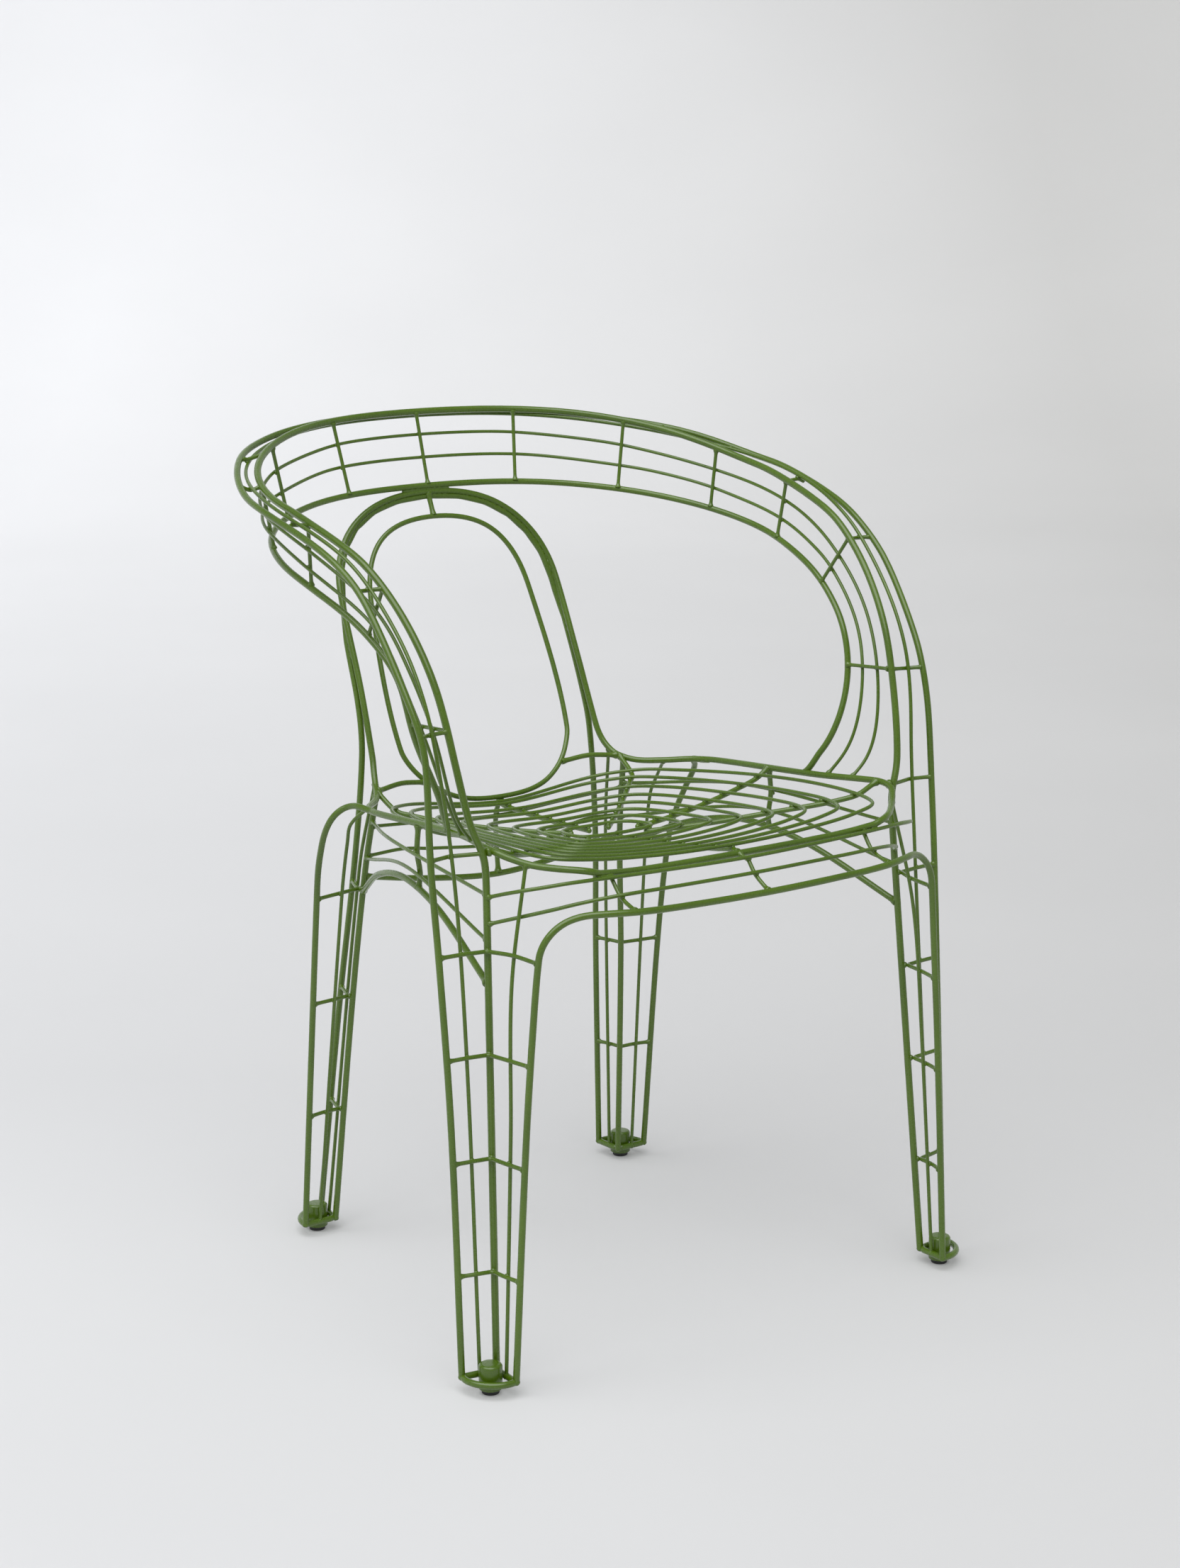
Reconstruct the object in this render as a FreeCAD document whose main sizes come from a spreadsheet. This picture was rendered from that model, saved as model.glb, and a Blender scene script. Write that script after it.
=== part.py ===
import FreeCAD, Part
import math
import os

# A wire armchair: the outline of a one piece plastic chair, drawn in welded steel wire and powder coated.
# Millimetres, +Z up, the front faces -Y and +X is the sitter's left. Every wire is worked out on the +X
# side and mirrored. Heights are drawn from the underside of the foot bosses, and the placement of every
# piece then lifts it by its glides and sets the origin on the floor below the middle of the chair's box.

V = FreeCAD.Vector
os.makedirs("parts", exist_ok=True)
doc = FreeCAD.newDocument("wire_armchair")
sheet = doc.addObject("Spreadsheet::Sheet", "sizes")
cells = []


def size(alias, value, note=""):
    """Write one driving size into the sheet, in a cell that carries its name."""
    cells.append(alias)
    row = str(len(cells))
    sheet.set("A" + row, alias)
    sheet.set("B" + row, str(value))
    sheet.setAlias("B" + row, alias)
    sheet.set("C" + row, note)


def get(alias):
    """Read a driving size back from the sheet."""
    return float(sheet.get(alias))


# Overall sizes
size("half_width", 287, "middle of the chair to the outermost wire of the arms")
size("seat_height", 445, "underside of the foot bosses to the front corners of the seat rail")
size("depth", 486, "foot of the front leg's corner wire to the top rim at the back")

# Wire stock
size("corner_wire", 6.2, "diameter of the top rim with its leg corner wires")
size("frame_wire", 5.4, "diameter of the other rims, the rails, braces and leg edge wires")
size("loop_wire", 4.4, "diameter of the inner loop of the back, its links and the seat spokes")
size("tie_wire", 3.2, "diameter of the cross ties and the front apron posts")
size("thin_wire", 2.9, "diameter of the seat loops and the thin wires between the edges")
size("wire_sides", 8, "flats round each wire: more make it rounder and the model heavier")
size("thin_sides", 6, "flats round the tie wire and the thin wire")
size("chord_turn", 18, "most degrees that a curved wire turns from one straight chord to the next")
size("shallow_turn", 1, "fewest degrees, below which two chords are made one")
size("weld_gap", 0.4, "clearance between two wires where a weld joins them")

# Feet
size("boss_diameter", 20, "round foot boss")
size("boss_height", 18, "boss above its glide")
size("boss_clearance", 0.6, "foot ring to the boss")
size("glide_diameter", 15, "floor glide under the boss")
size("glide_height", 4, "glide between the boss and the floor")
size("ring_bulge", 33, "leg corner to the outermost point of its foot ring")
size("ring_chords", 6, "straight chords of the foot ring's bow")

# Cross ties of the legs, measured down from the seat rail's front corner
size("front_tie_1_drop", 81)
size("front_tie_2_drop", 167)
size("front_tie_3_drop", 254)
size("front_tie_4_drop", 350)
size("rear_tie_1_drop", 110)
size("rear_tie_2_drop", 214)
size("rear_tie_3_drop", 326)

# Seat: closed loops of thin wire on eight spokes
size("seat_loops", 8, "number of loops")
size("loop_front", -14, "front line to the front of the outermost loop")
size("loop_front_step", 23.3, "from one loop to the next at the front")
size("loop_back", 135.1, "depth line to the back of the outermost loop")
size("loop_back_step", 24.3, "from one loop to the next at the back")
size("loop_back_ease", 0.35, "by which the steps at the back grow shorter")
size("loop_front_inset", 96.1, "half_width line to the outermost loop's front corner")
size("loop_front_pitch", 24, "from one loop to the next at the front corners")
size("loop_front_ease", 0.42, "by which the steps at the front corners grow shorter")
size("loop_back_inset", 122, "half_width line to the outermost loop's back corner")
size("loop_back_pitch", 18.3, "from one loop to the next at the back corners")
size("loop_front_cut", 0.21, "share of a loop's half width that its front corner cuts")
size("loop_front_reach", 0.10, "share of a loop's depth that its front corner reaches")
size("loop_back_cut", 0.56, "share of a loop's half width that its back corner cuts")
size("loop_back_reach", 0.08, "share of a loop's depth that its back corner reaches")
size("dish_front_drop", 14, "seat rail's front corner down to the seat's middle line at the front rail")
size("dish_middle_drop", 38.3, "the same halfway back")
size("dish_back_drop", 43.6, "the same at the inner loop of the back")
size("dish_power", 2, "how sharply the seat rises from its middle line to the side rails")
size("spoke_past", 4, "how far a spoke runs on past the smallest loop")

size("link_rise", -15, "height of a back link at the seat frame")
size("link_climb", -3, "from there to its other end on the inner loop")
size("post_inset", 152, "half_width line to the outer front apron posts")
size("side_post_along", 178, "front line to the side posts")

# Stations of the cross ties along the arm band, on the top rim and on the lower rim
size("tie_1_top_inset", 186, "first tie beside the middle of the back")
size("tie_1_low_inset", 194)
size("tie_2_top_inset", 91.5)
size("tie_2_low_inset", 103)
size("tie_3_top_along", 150, "behind the shoulder, from the depth line")
size("tie_3_low_along", 153)
size("tie_4_top_along", 246)
size("tie_4_low_along", 240)
size("tie_5_top_along", 136, "above the arm's bend, from the front line")
size("tie_5_low_along", 169)
size("tie_6_rise", 98, "on the upright of the arm, above the seat rail's front corner")
size("tie_7_rise", -1, "beside the seat rail's front corner")
size("rim_tie_along", 86, "the one tie that joins the rims only, from the depth line")


# Bends of the wires. A wire follows the quadratic spline whose control points these are, in order from
# the middle of the chair. Each is an inset from half_width, a distance along the chair and a height.
def front(inset, along, rise):
    """Along is from the front line, rise from the seat rail's front corner."""
    return "front", inset, along, rise


def back(inset, along, rise):
    """Along is forward from the depth line, rise from the seat rail's front corner."""
    return "back", inset, along, rise


def foot(inset, along, up):
    """Along is from the front line, up from the underside of the bosses."""
    return "foot", inset, along, up


def rear_foot(inset, along, up):
    """Along is forward from the depth line, up from the underside of the bosses."""
    return "rear_foot", inset, along, up


regions = {}


def bends(name, rows):
    """Write a wire's control points into the sheet, and keep which lines each is measured from."""
    regions[name] = [row[0] for row in rows]
    for i, (region, inset, along, up) in enumerate(rows):
        size("%s_inset_%d" % (name, i), inset)
        size("%s_along_%d" % (name, i), along)
        size("%s_up_%d" % (name, i), up)


bends("outer_rim", [
    back(188.5, -3.5, 308.5), back(87, 42.5, 296), back(35, 105, 285), back(5, 175.5, 263.5),
    back(2.5, 251, 253), front(14, 136.5, 216.5), front(12.5, 84.5, 155.5), front(22, 43.5, 90.5),
    front(17, 41.5, 32), front(19.5, 33.5, -35.5), front(20, 23, -141), foot(23.5, 11, 144.5),
    foot(21, 4, 8.5),
])
bends("middle_rim", [
    back(190, -7, 305), back(87, 49, 291.5), back(31, 124, 276), back(8.5, 221.5, 260.5),
    back(21.5, 317, 234.5), front(27, 108.5, 188.5), front(32, 69.5, 137), front(32, 53.5, 97),
    front(37, 46.5, 50.5), front(40, 39.5, 2), front(42.5, 26.5, -109), foot(39.5, 13.5, 160),
    foot(37.5, 3.5, 8.5),
])
bends("top_rim", [
    back(219.5, 3, 310), back(127.5, 41.5, 304.5), back(57, 100.5, 287.5), back(26, 173, 264.5),
    back(30.5, 282, 246), front(37.5, 133, 210.5), front(45, 81.5, 155.5), front(51, 53, 89.5),
    front(56, 42, 24.5), front(62, 33.5, 5), front(70.5, 34.5, 1.5), front(68.5, 33.5, -31.5),
    front(63.5, 20.5, -155.5), foot(56, 10.5, 140), foot(52.5, -0.5, 8.5),
])
bends("lower_rim", [
    back(208.5, 23.5, 241.5), back(120, 59.5, 234), back(59, 116, 222), back(29, 198, 205.5),
    back(35, 276.5, 185), front(43, 157.5, 158), front(49.5, 125.5, 128), front(50, 116, 85.5),
    front(71, 108, 37), front(90.5, 124, -1), front(96.5, 150, -6),
])
bends("band_upper", [
    back(224.5, 11.5, 291.5), back(140.5, 41, 284), back(72.5, 87.5, 268), back(25, 161.5, 248.5),
    back(12.5, 256.5, 220), front(40, 150.5, 195), front(44, 102, 149.5), front(53.5, 71, 90),
    front(62, 66.5, 16), front(81, 75, -4),
])
bends("band_lower", [
    back(211, 19.5, 269), back(124.5, 58.5, 258.5), back(53.5, 114, 241.5), back(31.5, 196, 223.5),
    back(34.5, 278, 204.5), front(50, 145, 177.5), front(51.5, 105.5, 135.5), front(61, 83.5, 87),
    front(72.5, 84.5, 20.5), front(88.5, 101, -5),
])
bends("seat_frame", [
    front(156, -22.5, -21.5), front(128, -29.5, -11.5), front(93.5, 4.5, -10.5), front(69.8, 32, 2.5),
    front(87, 83, -1.5), back(96, 342, -5), back(93.5, 263.5, -11), back(103.5, 200.5, -16.5),
    back(143.5, 160.5, -23), back(158, 130.5, -11), back(163.5, 115, 30), back(164.5, 81.5, 111),
    back(168.5, 44, 187), back(229, 24.5, 235.5),
])
bends("back_loop", [
    back(253.5, 146, -40), back(221.5, 140.5, -27), back(197.5, 126.5, -5), back(189, 113, 28),
    back(194.5, 80, 101.5), back(201.5, 48.5, 176.5), back(243.5, 33.5, 213),
])
bends("front_arch", [
    front(245, -64.5, -46), front(147.5, -65.5, -42.5), front(104.5, -40.5, -42.5),
    front(79, -32.5, -62), front(74.5, -30.5, -92.5), front(70, -30.5, -157), foot(58, -30, 140),
    foot(52, -31, 8.5),
])
bends("front_thin", [
    front(87, 5.5, -12), front(74, 4, -55), front(67.5, -5.5, -156.5), foot(59.5, -11.5, 142),
    foot(54.5, -16, 8.5),
])
bends("front_apron_upper", [
    front(224, -37.5, -21.5), front(138.5, -32, -18.5), front(89.5, -16, -23),
    front(71.5, 3.5, -28.5), front(72.5, 34, -38.5),
])
bends("front_apron_lower", [
    front(227, -48, -32.5), front(157, -47, -31), front(117, -27, -38), front(87, 3, -51),
    front(68.5, 27.5, -60),
])
bends("rear_corner", [
    back(148.5, 151.5, -13), back(147.5, 141, -40), back(137.5, 132, -145.5),
    rear_foot(128, 117.5, 150), rear_foot(121.5, 104.5, 8.5),
])
bends("rear_side", [
    back(94, 224, -13.5), back(101.5, 191.5, -11), back(79, 179, -26), back(85, 148.5, -79),
    back(89.5, 137.5, -131.5), rear_foot(89, 118.5, 156.5), rear_foot(89, 104, 8.5),
])
bends("rear_side_thin", [
    back(110, 173, -24.5), back(116.5, 157, -39), back(115.5, 144.5, -77.5), back(114, 138, -138),
    rear_foot(108.5, 118.5, 154.5), rear_foot(104.5, 107.5, 8.5),
])
bends("rear_back_thin", [
    back(159.5, 131, -16.5), back(151, 123.5, -44.5), back(143, 114, -143.5),
    rear_foot(133, 100.5, 151.5), rear_foot(124, 90.5, 8.5),
])
bends("rear_back", [
    back(164.5, 75.5, 108.5), back(162.5, 104.5, 43), back(154.5, 111, -28.5),
    back(145.5, 99.5, -152), rear_foot(133, 82.5, 145), rear_foot(123.5, 73.5, 8.5),
])
bends("side_brace", [
    front(67.5, 30, -110.5), front(86.5, 143.5, -59), back(112.5, 207.5, -67.5),
    back(138, 133.5, -111.5),
])
bends("side_apron_lower", [
    front(63, 28, -73.5), front(76.5, 129, -48), back(111, 227.5, -53), back(140, 137, -80),
])
bends("side_apron_upper", [
    front(63, 29, -35.5), front(80, 156.5, -29.5), back(108.5, 202, -33.5), back(140, 142, -44.5),
])
bends("rear_brace", [
    back(237, 140, -116), back(187, 139, -103), back(139, 136, -98),
])
bends("rear_apron_lower", [
    back(237, 141, -87), back(187, 141, -74), back(140.5, 139, -78),
])
bends("rear_apron_upper", [
    back(237, 141, -59), back(187, 141, -50), back(142, 143, -49),
])
doc.recompute()

HALF_WIDTH = get("half_width")
SEAT = get("seat_height")
DEPTH = get("depth")
GAP = get("weld_gap")
CORNER_R = get("corner_wire") / 2
FRAME_R = get("frame_wire") / 2
LOOP_R = get("loop_wire") / 2
TIE_R = get("tie_wire") / 2
THIN_R = get("thin_wire") / 2


def controls(name):
    """The control points of one wire, in millimetres."""
    points = []
    for i, region in enumerate(regions[name]):
        along = get("%s_along_%d" % (name, i))
        up = get("%s_up_%d" % (name, i))
        points.append(V(
            HALF_WIDTH - get("%s_inset_%d" % (name, i)),
            DEPTH - along if region in ("back", "rear_foot") else along,
            up if region in ("foot", "rear_foot") else SEAT + up,
        ))
    return points


def turn(a, b):
    """Degrees between two directions."""
    return math.degrees(a.getAngle(b))


def spline(points):
    """Straight chords along the quadratic spline of a control polygon, which they meet end to end."""
    limit = get("chord_turn")
    path = [points[0]]
    for i in range(1, len(points) - 1):
        start = path[-1]
        bend = points[i]
        end = points[-1] if i == len(points) - 2 else (bend + points[i + 1]) * 0.5
        steps = max(1, math.ceil(turn(bend - start, end - bend) / limit))
        for step in range(1, steps + 1):
            t = step / steps
            path.append(start * (1 - t) ** 2 + bend * (2 * t * (1 - t)) + end * t ** 2)
    return path


def mirrored(path):
    """The same path on the other side of the chair."""
    return [V(-p.x, p.y, p.z) for p in path]


def across(path):
    """A whole wire from its +X half, which starts in the middle."""
    return mirrored(path[1:])[::-1] + path


def from_middle(points):
    """A half path that starts in the middle of the chair, level with its first control point."""
    return spline([V(0, points[0].y, points[0].z)] + points)


def length(path):
    return sum((b - a).Length for a, b in zip(path, path[1:]))


def ring(centre, direction, radius):
    """A regular polygon square to a wire, with the area of the round section."""
    sides = int(get("wire_sides" if radius > TIE_R else "thin_sides"))
    slice_turn = 2 * math.pi / sides
    reach = radius * math.sqrt(slice_turn / math.sin(slice_turn))
    upright = V(0, 0, 1) if abs(direction.z) < 0.9 * direction.Length else V(1, 0, 0)
    across_wire = direction.cross(upright).normalize()
    other = direction.cross(across_wire).normalize()
    corners = [
        centre
        + across_wire * (reach * math.cos((i + 0.5) * slice_turn))
        + other * (reach * math.sin((i + 0.5) * slice_turn))
        for i in range(sides)
    ]
    return Part.makePolygon(corners + corners[:1])


def straightened(path):
    """The path without the points at which it hardly turns, which would break a mitre."""
    kept = path[:1]
    for spot, after in zip(path[1:], path[2:]):
        if turn(spot - kept[-1], after - spot) >= get("shallow_turn"):
            kept.append(spot)
    return kept + path[-1:]


def wire(path, radius, closed=False):
    """A solid wire along straight chords with mitred joints. A closed one starts inside its first chord."""
    path = straightened(path)
    if closed:
        path = [(path[0] + path[1]) * 0.5] + path[1:] + path[:1]
        path = path + path[:1]
    spine = Part.Wire([Part.LineSegment(a, b).toShape() for a, b in zip(path, path[1:])])
    right_corners = 1
    solid = spine.makePipeShell([ring(path[0], path[1] - path[0], radius)], True, False, right_corners)
    share_off = 0.02
    if abs(solid.Volume / (math.pi * radius ** 2 * length(path)) - 1) > share_off:
        raise ValueError("a wire's volume doesn't match its length")
    return solid


def nearest(path, point):
    """The point of a path that is nearest to a point, and the path's direction there."""
    best = None
    for a, b in zip(path, path[1:]):
        run = b - a
        t = min(1, max(0, (point - a).dot(run) / run.dot(run)))
        spot = a + run * t
        if best is None or (spot - point).Length < best[0]:
            best = (spot - point).Length, spot, run
    return best[1], best[2]


def crossing(path, axis, value, last=False):
    """The first or last point of a path at a value of x, y or z (axis 0, 1 or 2)."""
    found = []
    for a, b in zip(path, path[1:]):
        if min(a[axis], b[axis]) <= value <= max(a[axis], b[axis]) and a[axis] != b[axis]:
            found.append(a + (b - a) * ((value - a[axis]) / (b[axis] - a[axis])))
    return found[-1] if last else found[0]


def room(point, run, radius, target, target_radius):
    """The clearance between the square end of a wire, at a point of its path, and a target wire."""
    spot, along = nearest(target, point)
    return (point - spot).Length - target_radius - radius * abs(math.cos(run.getAngle(along)))


def butt(path, radius, target, target_radius):
    """The path with its end moved onto a target wire and cut back to that wire's surface."""
    path = path[:-1] + [nearest(target, path[-1])[0]]
    while len(path) > 2 and room(path[-2], path[-1] - path[-2], radius, target, target_radius) < GAP:
        path = path[:-1]
    run = path[-1] - path[-2]
    clear, too_near = 0, 1
    halvings = 30
    for _ in range(halvings):
        share = (clear + too_near) / 2
        if room(path[-2] + run * share, run, radius, target, target_radius) < GAP:
            too_near = share
        else:
            clear = share
    return path[:-1] + [path[-2] + run * clear]


def butt_both(path, radius, first, first_radius, last, last_radius):
    """The path with each of its ends cut back to the surface of another wire."""
    path = butt(path, radius, last, last_radius)
    return butt(path[::-1], radius, first, first_radius)[::-1]


def unit(vector):
    return V(vector).normalize()


def beside(path, radius, target, target_radius):
    """The path, with each point that is too near a target wire moved straight away from it."""
    apart = radius + GAP + target_radius
    moved = []
    for point in path:
        spot = nearest(target, point)[0]
        if (point - spot).Length < apart:
            point = spot + unit(point - spot) * apart
        moved.append(point)
    return moved


def passing(point, wire_path, wire_radius, along, radius, side):
    """A point of a tie that passes a wire on one side of it, and touches it there."""
    square = unit(nearest(wire_path, point)[1].cross(along))
    if square.dot(side) < 0:
        square = square * -1
    return point + square * (wire_radius + radius + GAP)


def settled(path, wires, radius):
    """A tie's path, with each bend moved in or out until the tie just clears the wire it passes there."""
    path = list(path)
    rounds = 2
    for _ in range(rounds):
        for i, (wire_path, wire_radius) in enumerate(wires, 1):
            bend = Part.makePolygon(path[i - 1:i + 2])
            missing = wire_radius + radius + GAP - bend.distToShape(Part.makePolygon(wire_path))[0]
            path[i] = path[i] + unit(path[i] - nearest(wire_path, path[i])[0]) * missing
    return path


def lace(spots, radius, side):
    """A tie from the first to the last of some wires, which passes the others on one side of them.
    Each spot is a point on a wire's axis, that wire's path and its radius."""
    path = [spots[0][0]]
    for before, (point, wire_path, wire_radius), after in zip(spots, spots[1:], spots[2:]):
        path.append(passing(point, wire_path, wire_radius, after[0] - before[0], radius, side))
    path.append(spots[-1][0])
    path = settled(path, [spot[1:] for spot in spots[1:-1]], radius)
    return butt_both(path, radius, *spots[0][1:], *spots[-1][1:])


pieces = []


def add(name, solids):
    """Make a node of the chair from its solids."""
    item = doc.addObject("Part::Feature", name)
    item.Label = name
    item.Shape = solids[0] if len(solids) == 1 else Part.makeCompound(solids)
    pieces.append(item)
    return item


def add_pair(name, solids):
    """Make a node for the sitter's left, +X, and its mirror image for the right."""
    middle_plane = V(1, 0, 0)
    add(name + "_left", solids)
    add(name + "_right", [s.mirror(V(0, 0, 0), middle_plane) for s in solids])


# Paths of the wires on the +X side
top = from_middle(controls("top_rim"))
outer = beside(from_middle(controls("outer_rim")), FRAME_R, top, CORNER_R)
middle = beside(from_middle(controls("middle_rim")), THIN_R, top, CORNER_R)
middle = beside(middle, THIN_R, outer, FRAME_R)
arch = from_middle(controls("front_arch"))
low = from_middle(controls("lower_rim"))
splat_top = low[0] - V(0, 0, FRAME_R + GAP + FRAME_R)
frame_bends = controls("seat_frame")
frame_bends[-1] = V(frame_bends[-1].x, splat_top.y, splat_top.z)
frame = from_middle(frame_bends + [splat_top])
loop_bends = controls("back_loop")
loop = from_middle(loop_bends + [V(0, loop_bends[-1].y, loop_bends[-1].z)])
band_upper = from_middle(controls("band_upper"))
band_lower = from_middle(controls("band_lower"))
front_thin = spline(controls("front_thin"))
rear_corner = spline(controls("rear_corner"))
rear_side = beside(spline(controls("rear_side")), FRAME_R, frame, FRAME_R)
rear_side_thin = spline(controls("rear_side_thin"))
rear_back_thin = spline(controls("rear_back_thin"))
rear_back = beside(spline(controls("rear_back")), FRAME_R, frame, FRAME_R)

# Feet: a ring of frame wire closes the five wires of each leg, round a boss on a glide
def foot_ring(edge_a, corner, edge_b):
    """The closed path of a foot ring: along both flanges, and outward round the boss from edge to edge."""
    out = unit(unit(edge_a - corner) + unit(edge_b - corner))
    bulge = corner + out * get("ring_bulge")
    arc = Part.Arc(edge_b, bulge, edge_a)
    count = int(get("ring_chords"))
    span = (arc.LastParameter - arc.FirstParameter) / count
    points = [arc.value(arc.FirstParameter + span * i) for i in range(count + 1)]
    start = (edge_a + corner) * 0.5
    return [start, corner] + points


def boss_centre(edge_a, corner, edge_b):
    """Where a boss stands: on the bisector of the flanges, clear of the ring along both."""
    a = unit(edge_a - corner)
    b = unit(edge_b - corner)
    half = a.getAngle(b) / 2
    away = (get("boss_diameter") / 2 + FRAME_R + get("boss_clearance")) / math.sin(half)
    return corner + unit(a + b) * away


FRONT_CORNERS = outer[-1], top[-1], arch[-1]
REAR_CORNERS = rear_side[-1], rear_corner[-1], rear_back[-1]
front_foot = foot_ring(*FRONT_CORNERS)
rear_foot_path = foot_ring(*REAR_CORNERS)


def stand(path, radius, ring_path):
    """A leg wire that ends on top of its foot ring."""
    return butt(path, radius, ring_path + ring_path[:1], FRAME_R)


outer_cut = stand(outer, FRAME_R, front_foot)
middle_cut = stand(middle, THIN_R, front_foot)
top_cut = stand(top, CORNER_R, front_foot)
arch_cut = stand(arch, FRAME_R, front_foot)
front_thin_cut = stand(front_thin, THIN_R, front_foot)
rear_corner_cut = stand(rear_corner, FRAME_R, rear_foot_path)
rear_side_cut = stand(rear_side, FRAME_R, rear_foot_path)
rear_side_thin_cut = stand(rear_side_thin, THIN_R, rear_foot_path)
rear_back_thin_cut = stand(rear_back_thin, THIN_R, rear_foot_path)
rear_back_cut = stand(rear_back, FRAME_R, rear_foot_path)

# Rims and arm band
add("outer_rim", [wire(across(outer_cut), FRAME_R)])
add("middle_rim", [wire(across(middle_cut), THIN_R)])
add("top_rim", [wire(across(top_cut), CORNER_R)])
low_cut = butt(low, FRAME_R, frame, FRAME_R)
band_upper_cut = butt(band_upper, THIN_R, frame, FRAME_R)
band_lower_cut = butt(band_lower, THIN_R, frame, FRAME_R)
add("lower_rim", [wire(across(low_cut), FRAME_R)])
add("band_wire_upper", [wire(across(band_upper_cut), THIN_R)])
add("band_wire_lower", [wire(across(band_lower_cut), THIN_R)])

# Seat frame with the splat, its inner loop and the links between the two
add("seat_frame", [wire(frame + mirrored(frame[1:-1])[::-1], FRAME_R, True)])
add("back_loop", [wire(loop + mirrored(loop[1:-1])[::-1], LOOP_R, True)])
link_from = crossing(frame, 2, SEAT + get("link_rise"), True)
link_to = crossing(loop, 2, SEAT + get("link_rise") + get("link_climb"))
side_link = butt_both([link_from, link_to], LOOP_R, frame, FRAME_R, loop, LOOP_R)
top_link = butt_both([loop[-1], frame[-1]], LOOP_R, loop, LOOP_R, frame, FRAME_R)
links = [wire(side_link, LOOP_R), wire(mirrored(side_link), LOOP_R), wire(top_link, LOOP_R)]
add("back_links", links)

# Front arch, the thin wires of the front legs, and the apron between the legs
add("front_arch", [wire(across(arch_cut), FRAME_R)])
front_thin_top = butt(front_thin_cut[::-1], THIN_R, frame, FRAME_R)
add_pair("front_leg_thin_wire", [wire(front_thin_top, THIN_R)])
apron_upper = butt(from_middle(controls("front_apron_upper")), THIN_R, top, CORNER_R)
apron_lower = butt(from_middle(controls("front_apron_lower")), THIN_R, top, CORNER_R)
add("front_apron_wire_upper", [wire(across(apron_upper), THIN_R)])
add("front_apron_wire_lower", [wire(across(apron_lower), THIN_R)])


def spots_on(wires, axis, value, last=False):
    """Where several wires cross a plane: each point with the wire's path and radius."""
    return [(crossing(path, axis, value, last), path, radius) for path, radius in wires]


def apron_post(x):
    """A front post from the seat rail down behind the apron wires to the arch."""
    wires = [(frame, FRAME_R), (apron_upper, THIN_R), (apron_lower, THIN_R), (arch, FRAME_R)]
    return lace(spots_on(wires, 0, x), TIE_R, V(0, 1, -1))


post_x = HALF_WIDTH - get("post_inset")
side_post = apron_post(post_x)
add("front_apron_posts", [
    wire(mirrored(side_post), TIE_R),
    wire(apron_post(0), TIE_R),
    wire(side_post, TIE_R),
])

# Rear legs: five wires each, the outer edges of which run into the seat rail and the splat
add_pair("rear_leg_corner", [wire(butt(rear_corner_cut[::-1], FRAME_R, frame, FRAME_R), FRAME_R)])
add_pair("rear_leg_side_edge", [wire(rear_side_cut, FRAME_R)])
add_pair("rear_leg_side_wire", [wire(butt(rear_side_thin_cut[::-1], THIN_R, frame, FRAME_R), THIN_R)])
add_pair("rear_leg_back_wire", [wire(butt(rear_back_thin_cut[::-1], THIN_R, frame, FRAME_R), THIN_R)])
add_pair("rear_leg_back_edge", [wire(rear_back_cut, FRAME_R)])

# Aprons between the front and rear legs, and between the rear legs
brace = butt_both(spline(controls("side_brace")), FRAME_R, top, CORNER_R, rear_corner, FRAME_R)
side_lower = butt_both(spline(controls("side_apron_lower")), THIN_R, top, CORNER_R, rear_corner, FRAME_R)
side_upper = butt_both(spline(controls("side_apron_upper")), THIN_R, top, CORNER_R, rear_corner, FRAME_R)
add_pair("side_brace", [wire(brace, FRAME_R)])
add_pair("side_apron_wires", [wire(side_lower, THIN_R), wire(side_upper, THIN_R)])


def side_frame_at(y):
    """The side rail of the seat frame where it crosses a plane of constant y."""
    spots = [crossing([a, b], 1, y) for a, b in zip(frame, frame[1:]) if min(a.y, b.y) <= y <= max(a.y, b.y)]
    return max(spots, key=lambda spot: spot.x)


post_y = get("side_post_along")
side_spots = [(side_frame_at(post_y), frame, FRAME_R)]
side_spots += spots_on([(side_upper, THIN_R), (side_lower, THIN_R), (brace, FRAME_R)], 1, post_y)
add_pair("side_post", [wire(lace(side_spots, LOOP_R, V(-1, 0, 0)), LOOP_R)])

rear_beam = butt(from_middle(controls("rear_brace")), FRAME_R, rear_corner, FRAME_R)
rear_lower = butt(from_middle(controls("rear_apron_lower")), THIN_R, rear_corner, FRAME_R)
rear_upper = butt(from_middle(controls("rear_apron_upper")), THIN_R, rear_corner, FRAME_R)
add("rear_brace", [wire(across(rear_beam), FRAME_R)])
add("rear_apron_wires", [wire(across(rear_lower), THIN_R), wire(across(rear_upper), THIN_R)])
rear_wires = [(loop, LOOP_R), (rear_upper, THIN_R), (rear_lower, THIN_R), (rear_beam, FRAME_R)]
rear_post = lace(spots_on(rear_wires, 0, 0), LOOP_R, V(0, 1, 0))
add("rear_post", [wire(rear_post, LOOP_R)])

# Seat: loops of thin wire that lie in a dished surface, welded on spokes
FRONT_EDGE = frame[0].y
REAR_EDGE = loop[0].y
SIDE_FROM = frame_bends[3].y
SIDE_TO = frame_bends[8].y


def seat_height_at(x, y):
    """Height of the seat surface: a dished middle line that rises to the side rails."""
    v = (y - FRONT_EDGE) / (REAR_EDGE - FRONT_EDGE)
    drop = get("dish_front_drop") * (1 - v) * (1 - 2 * v)
    drop += get("dish_middle_drop") * 4 * v * (1 - v)
    drop += get("dish_back_drop") * v * (2 * v - 1)
    side = side_frame_at(min(SIDE_TO, max(SIDE_FROM, y)))
    share = min(1, abs(x) / side.x) ** get("dish_power")
    return (SEAT - drop) * (1 - share) + side.z * share


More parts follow.
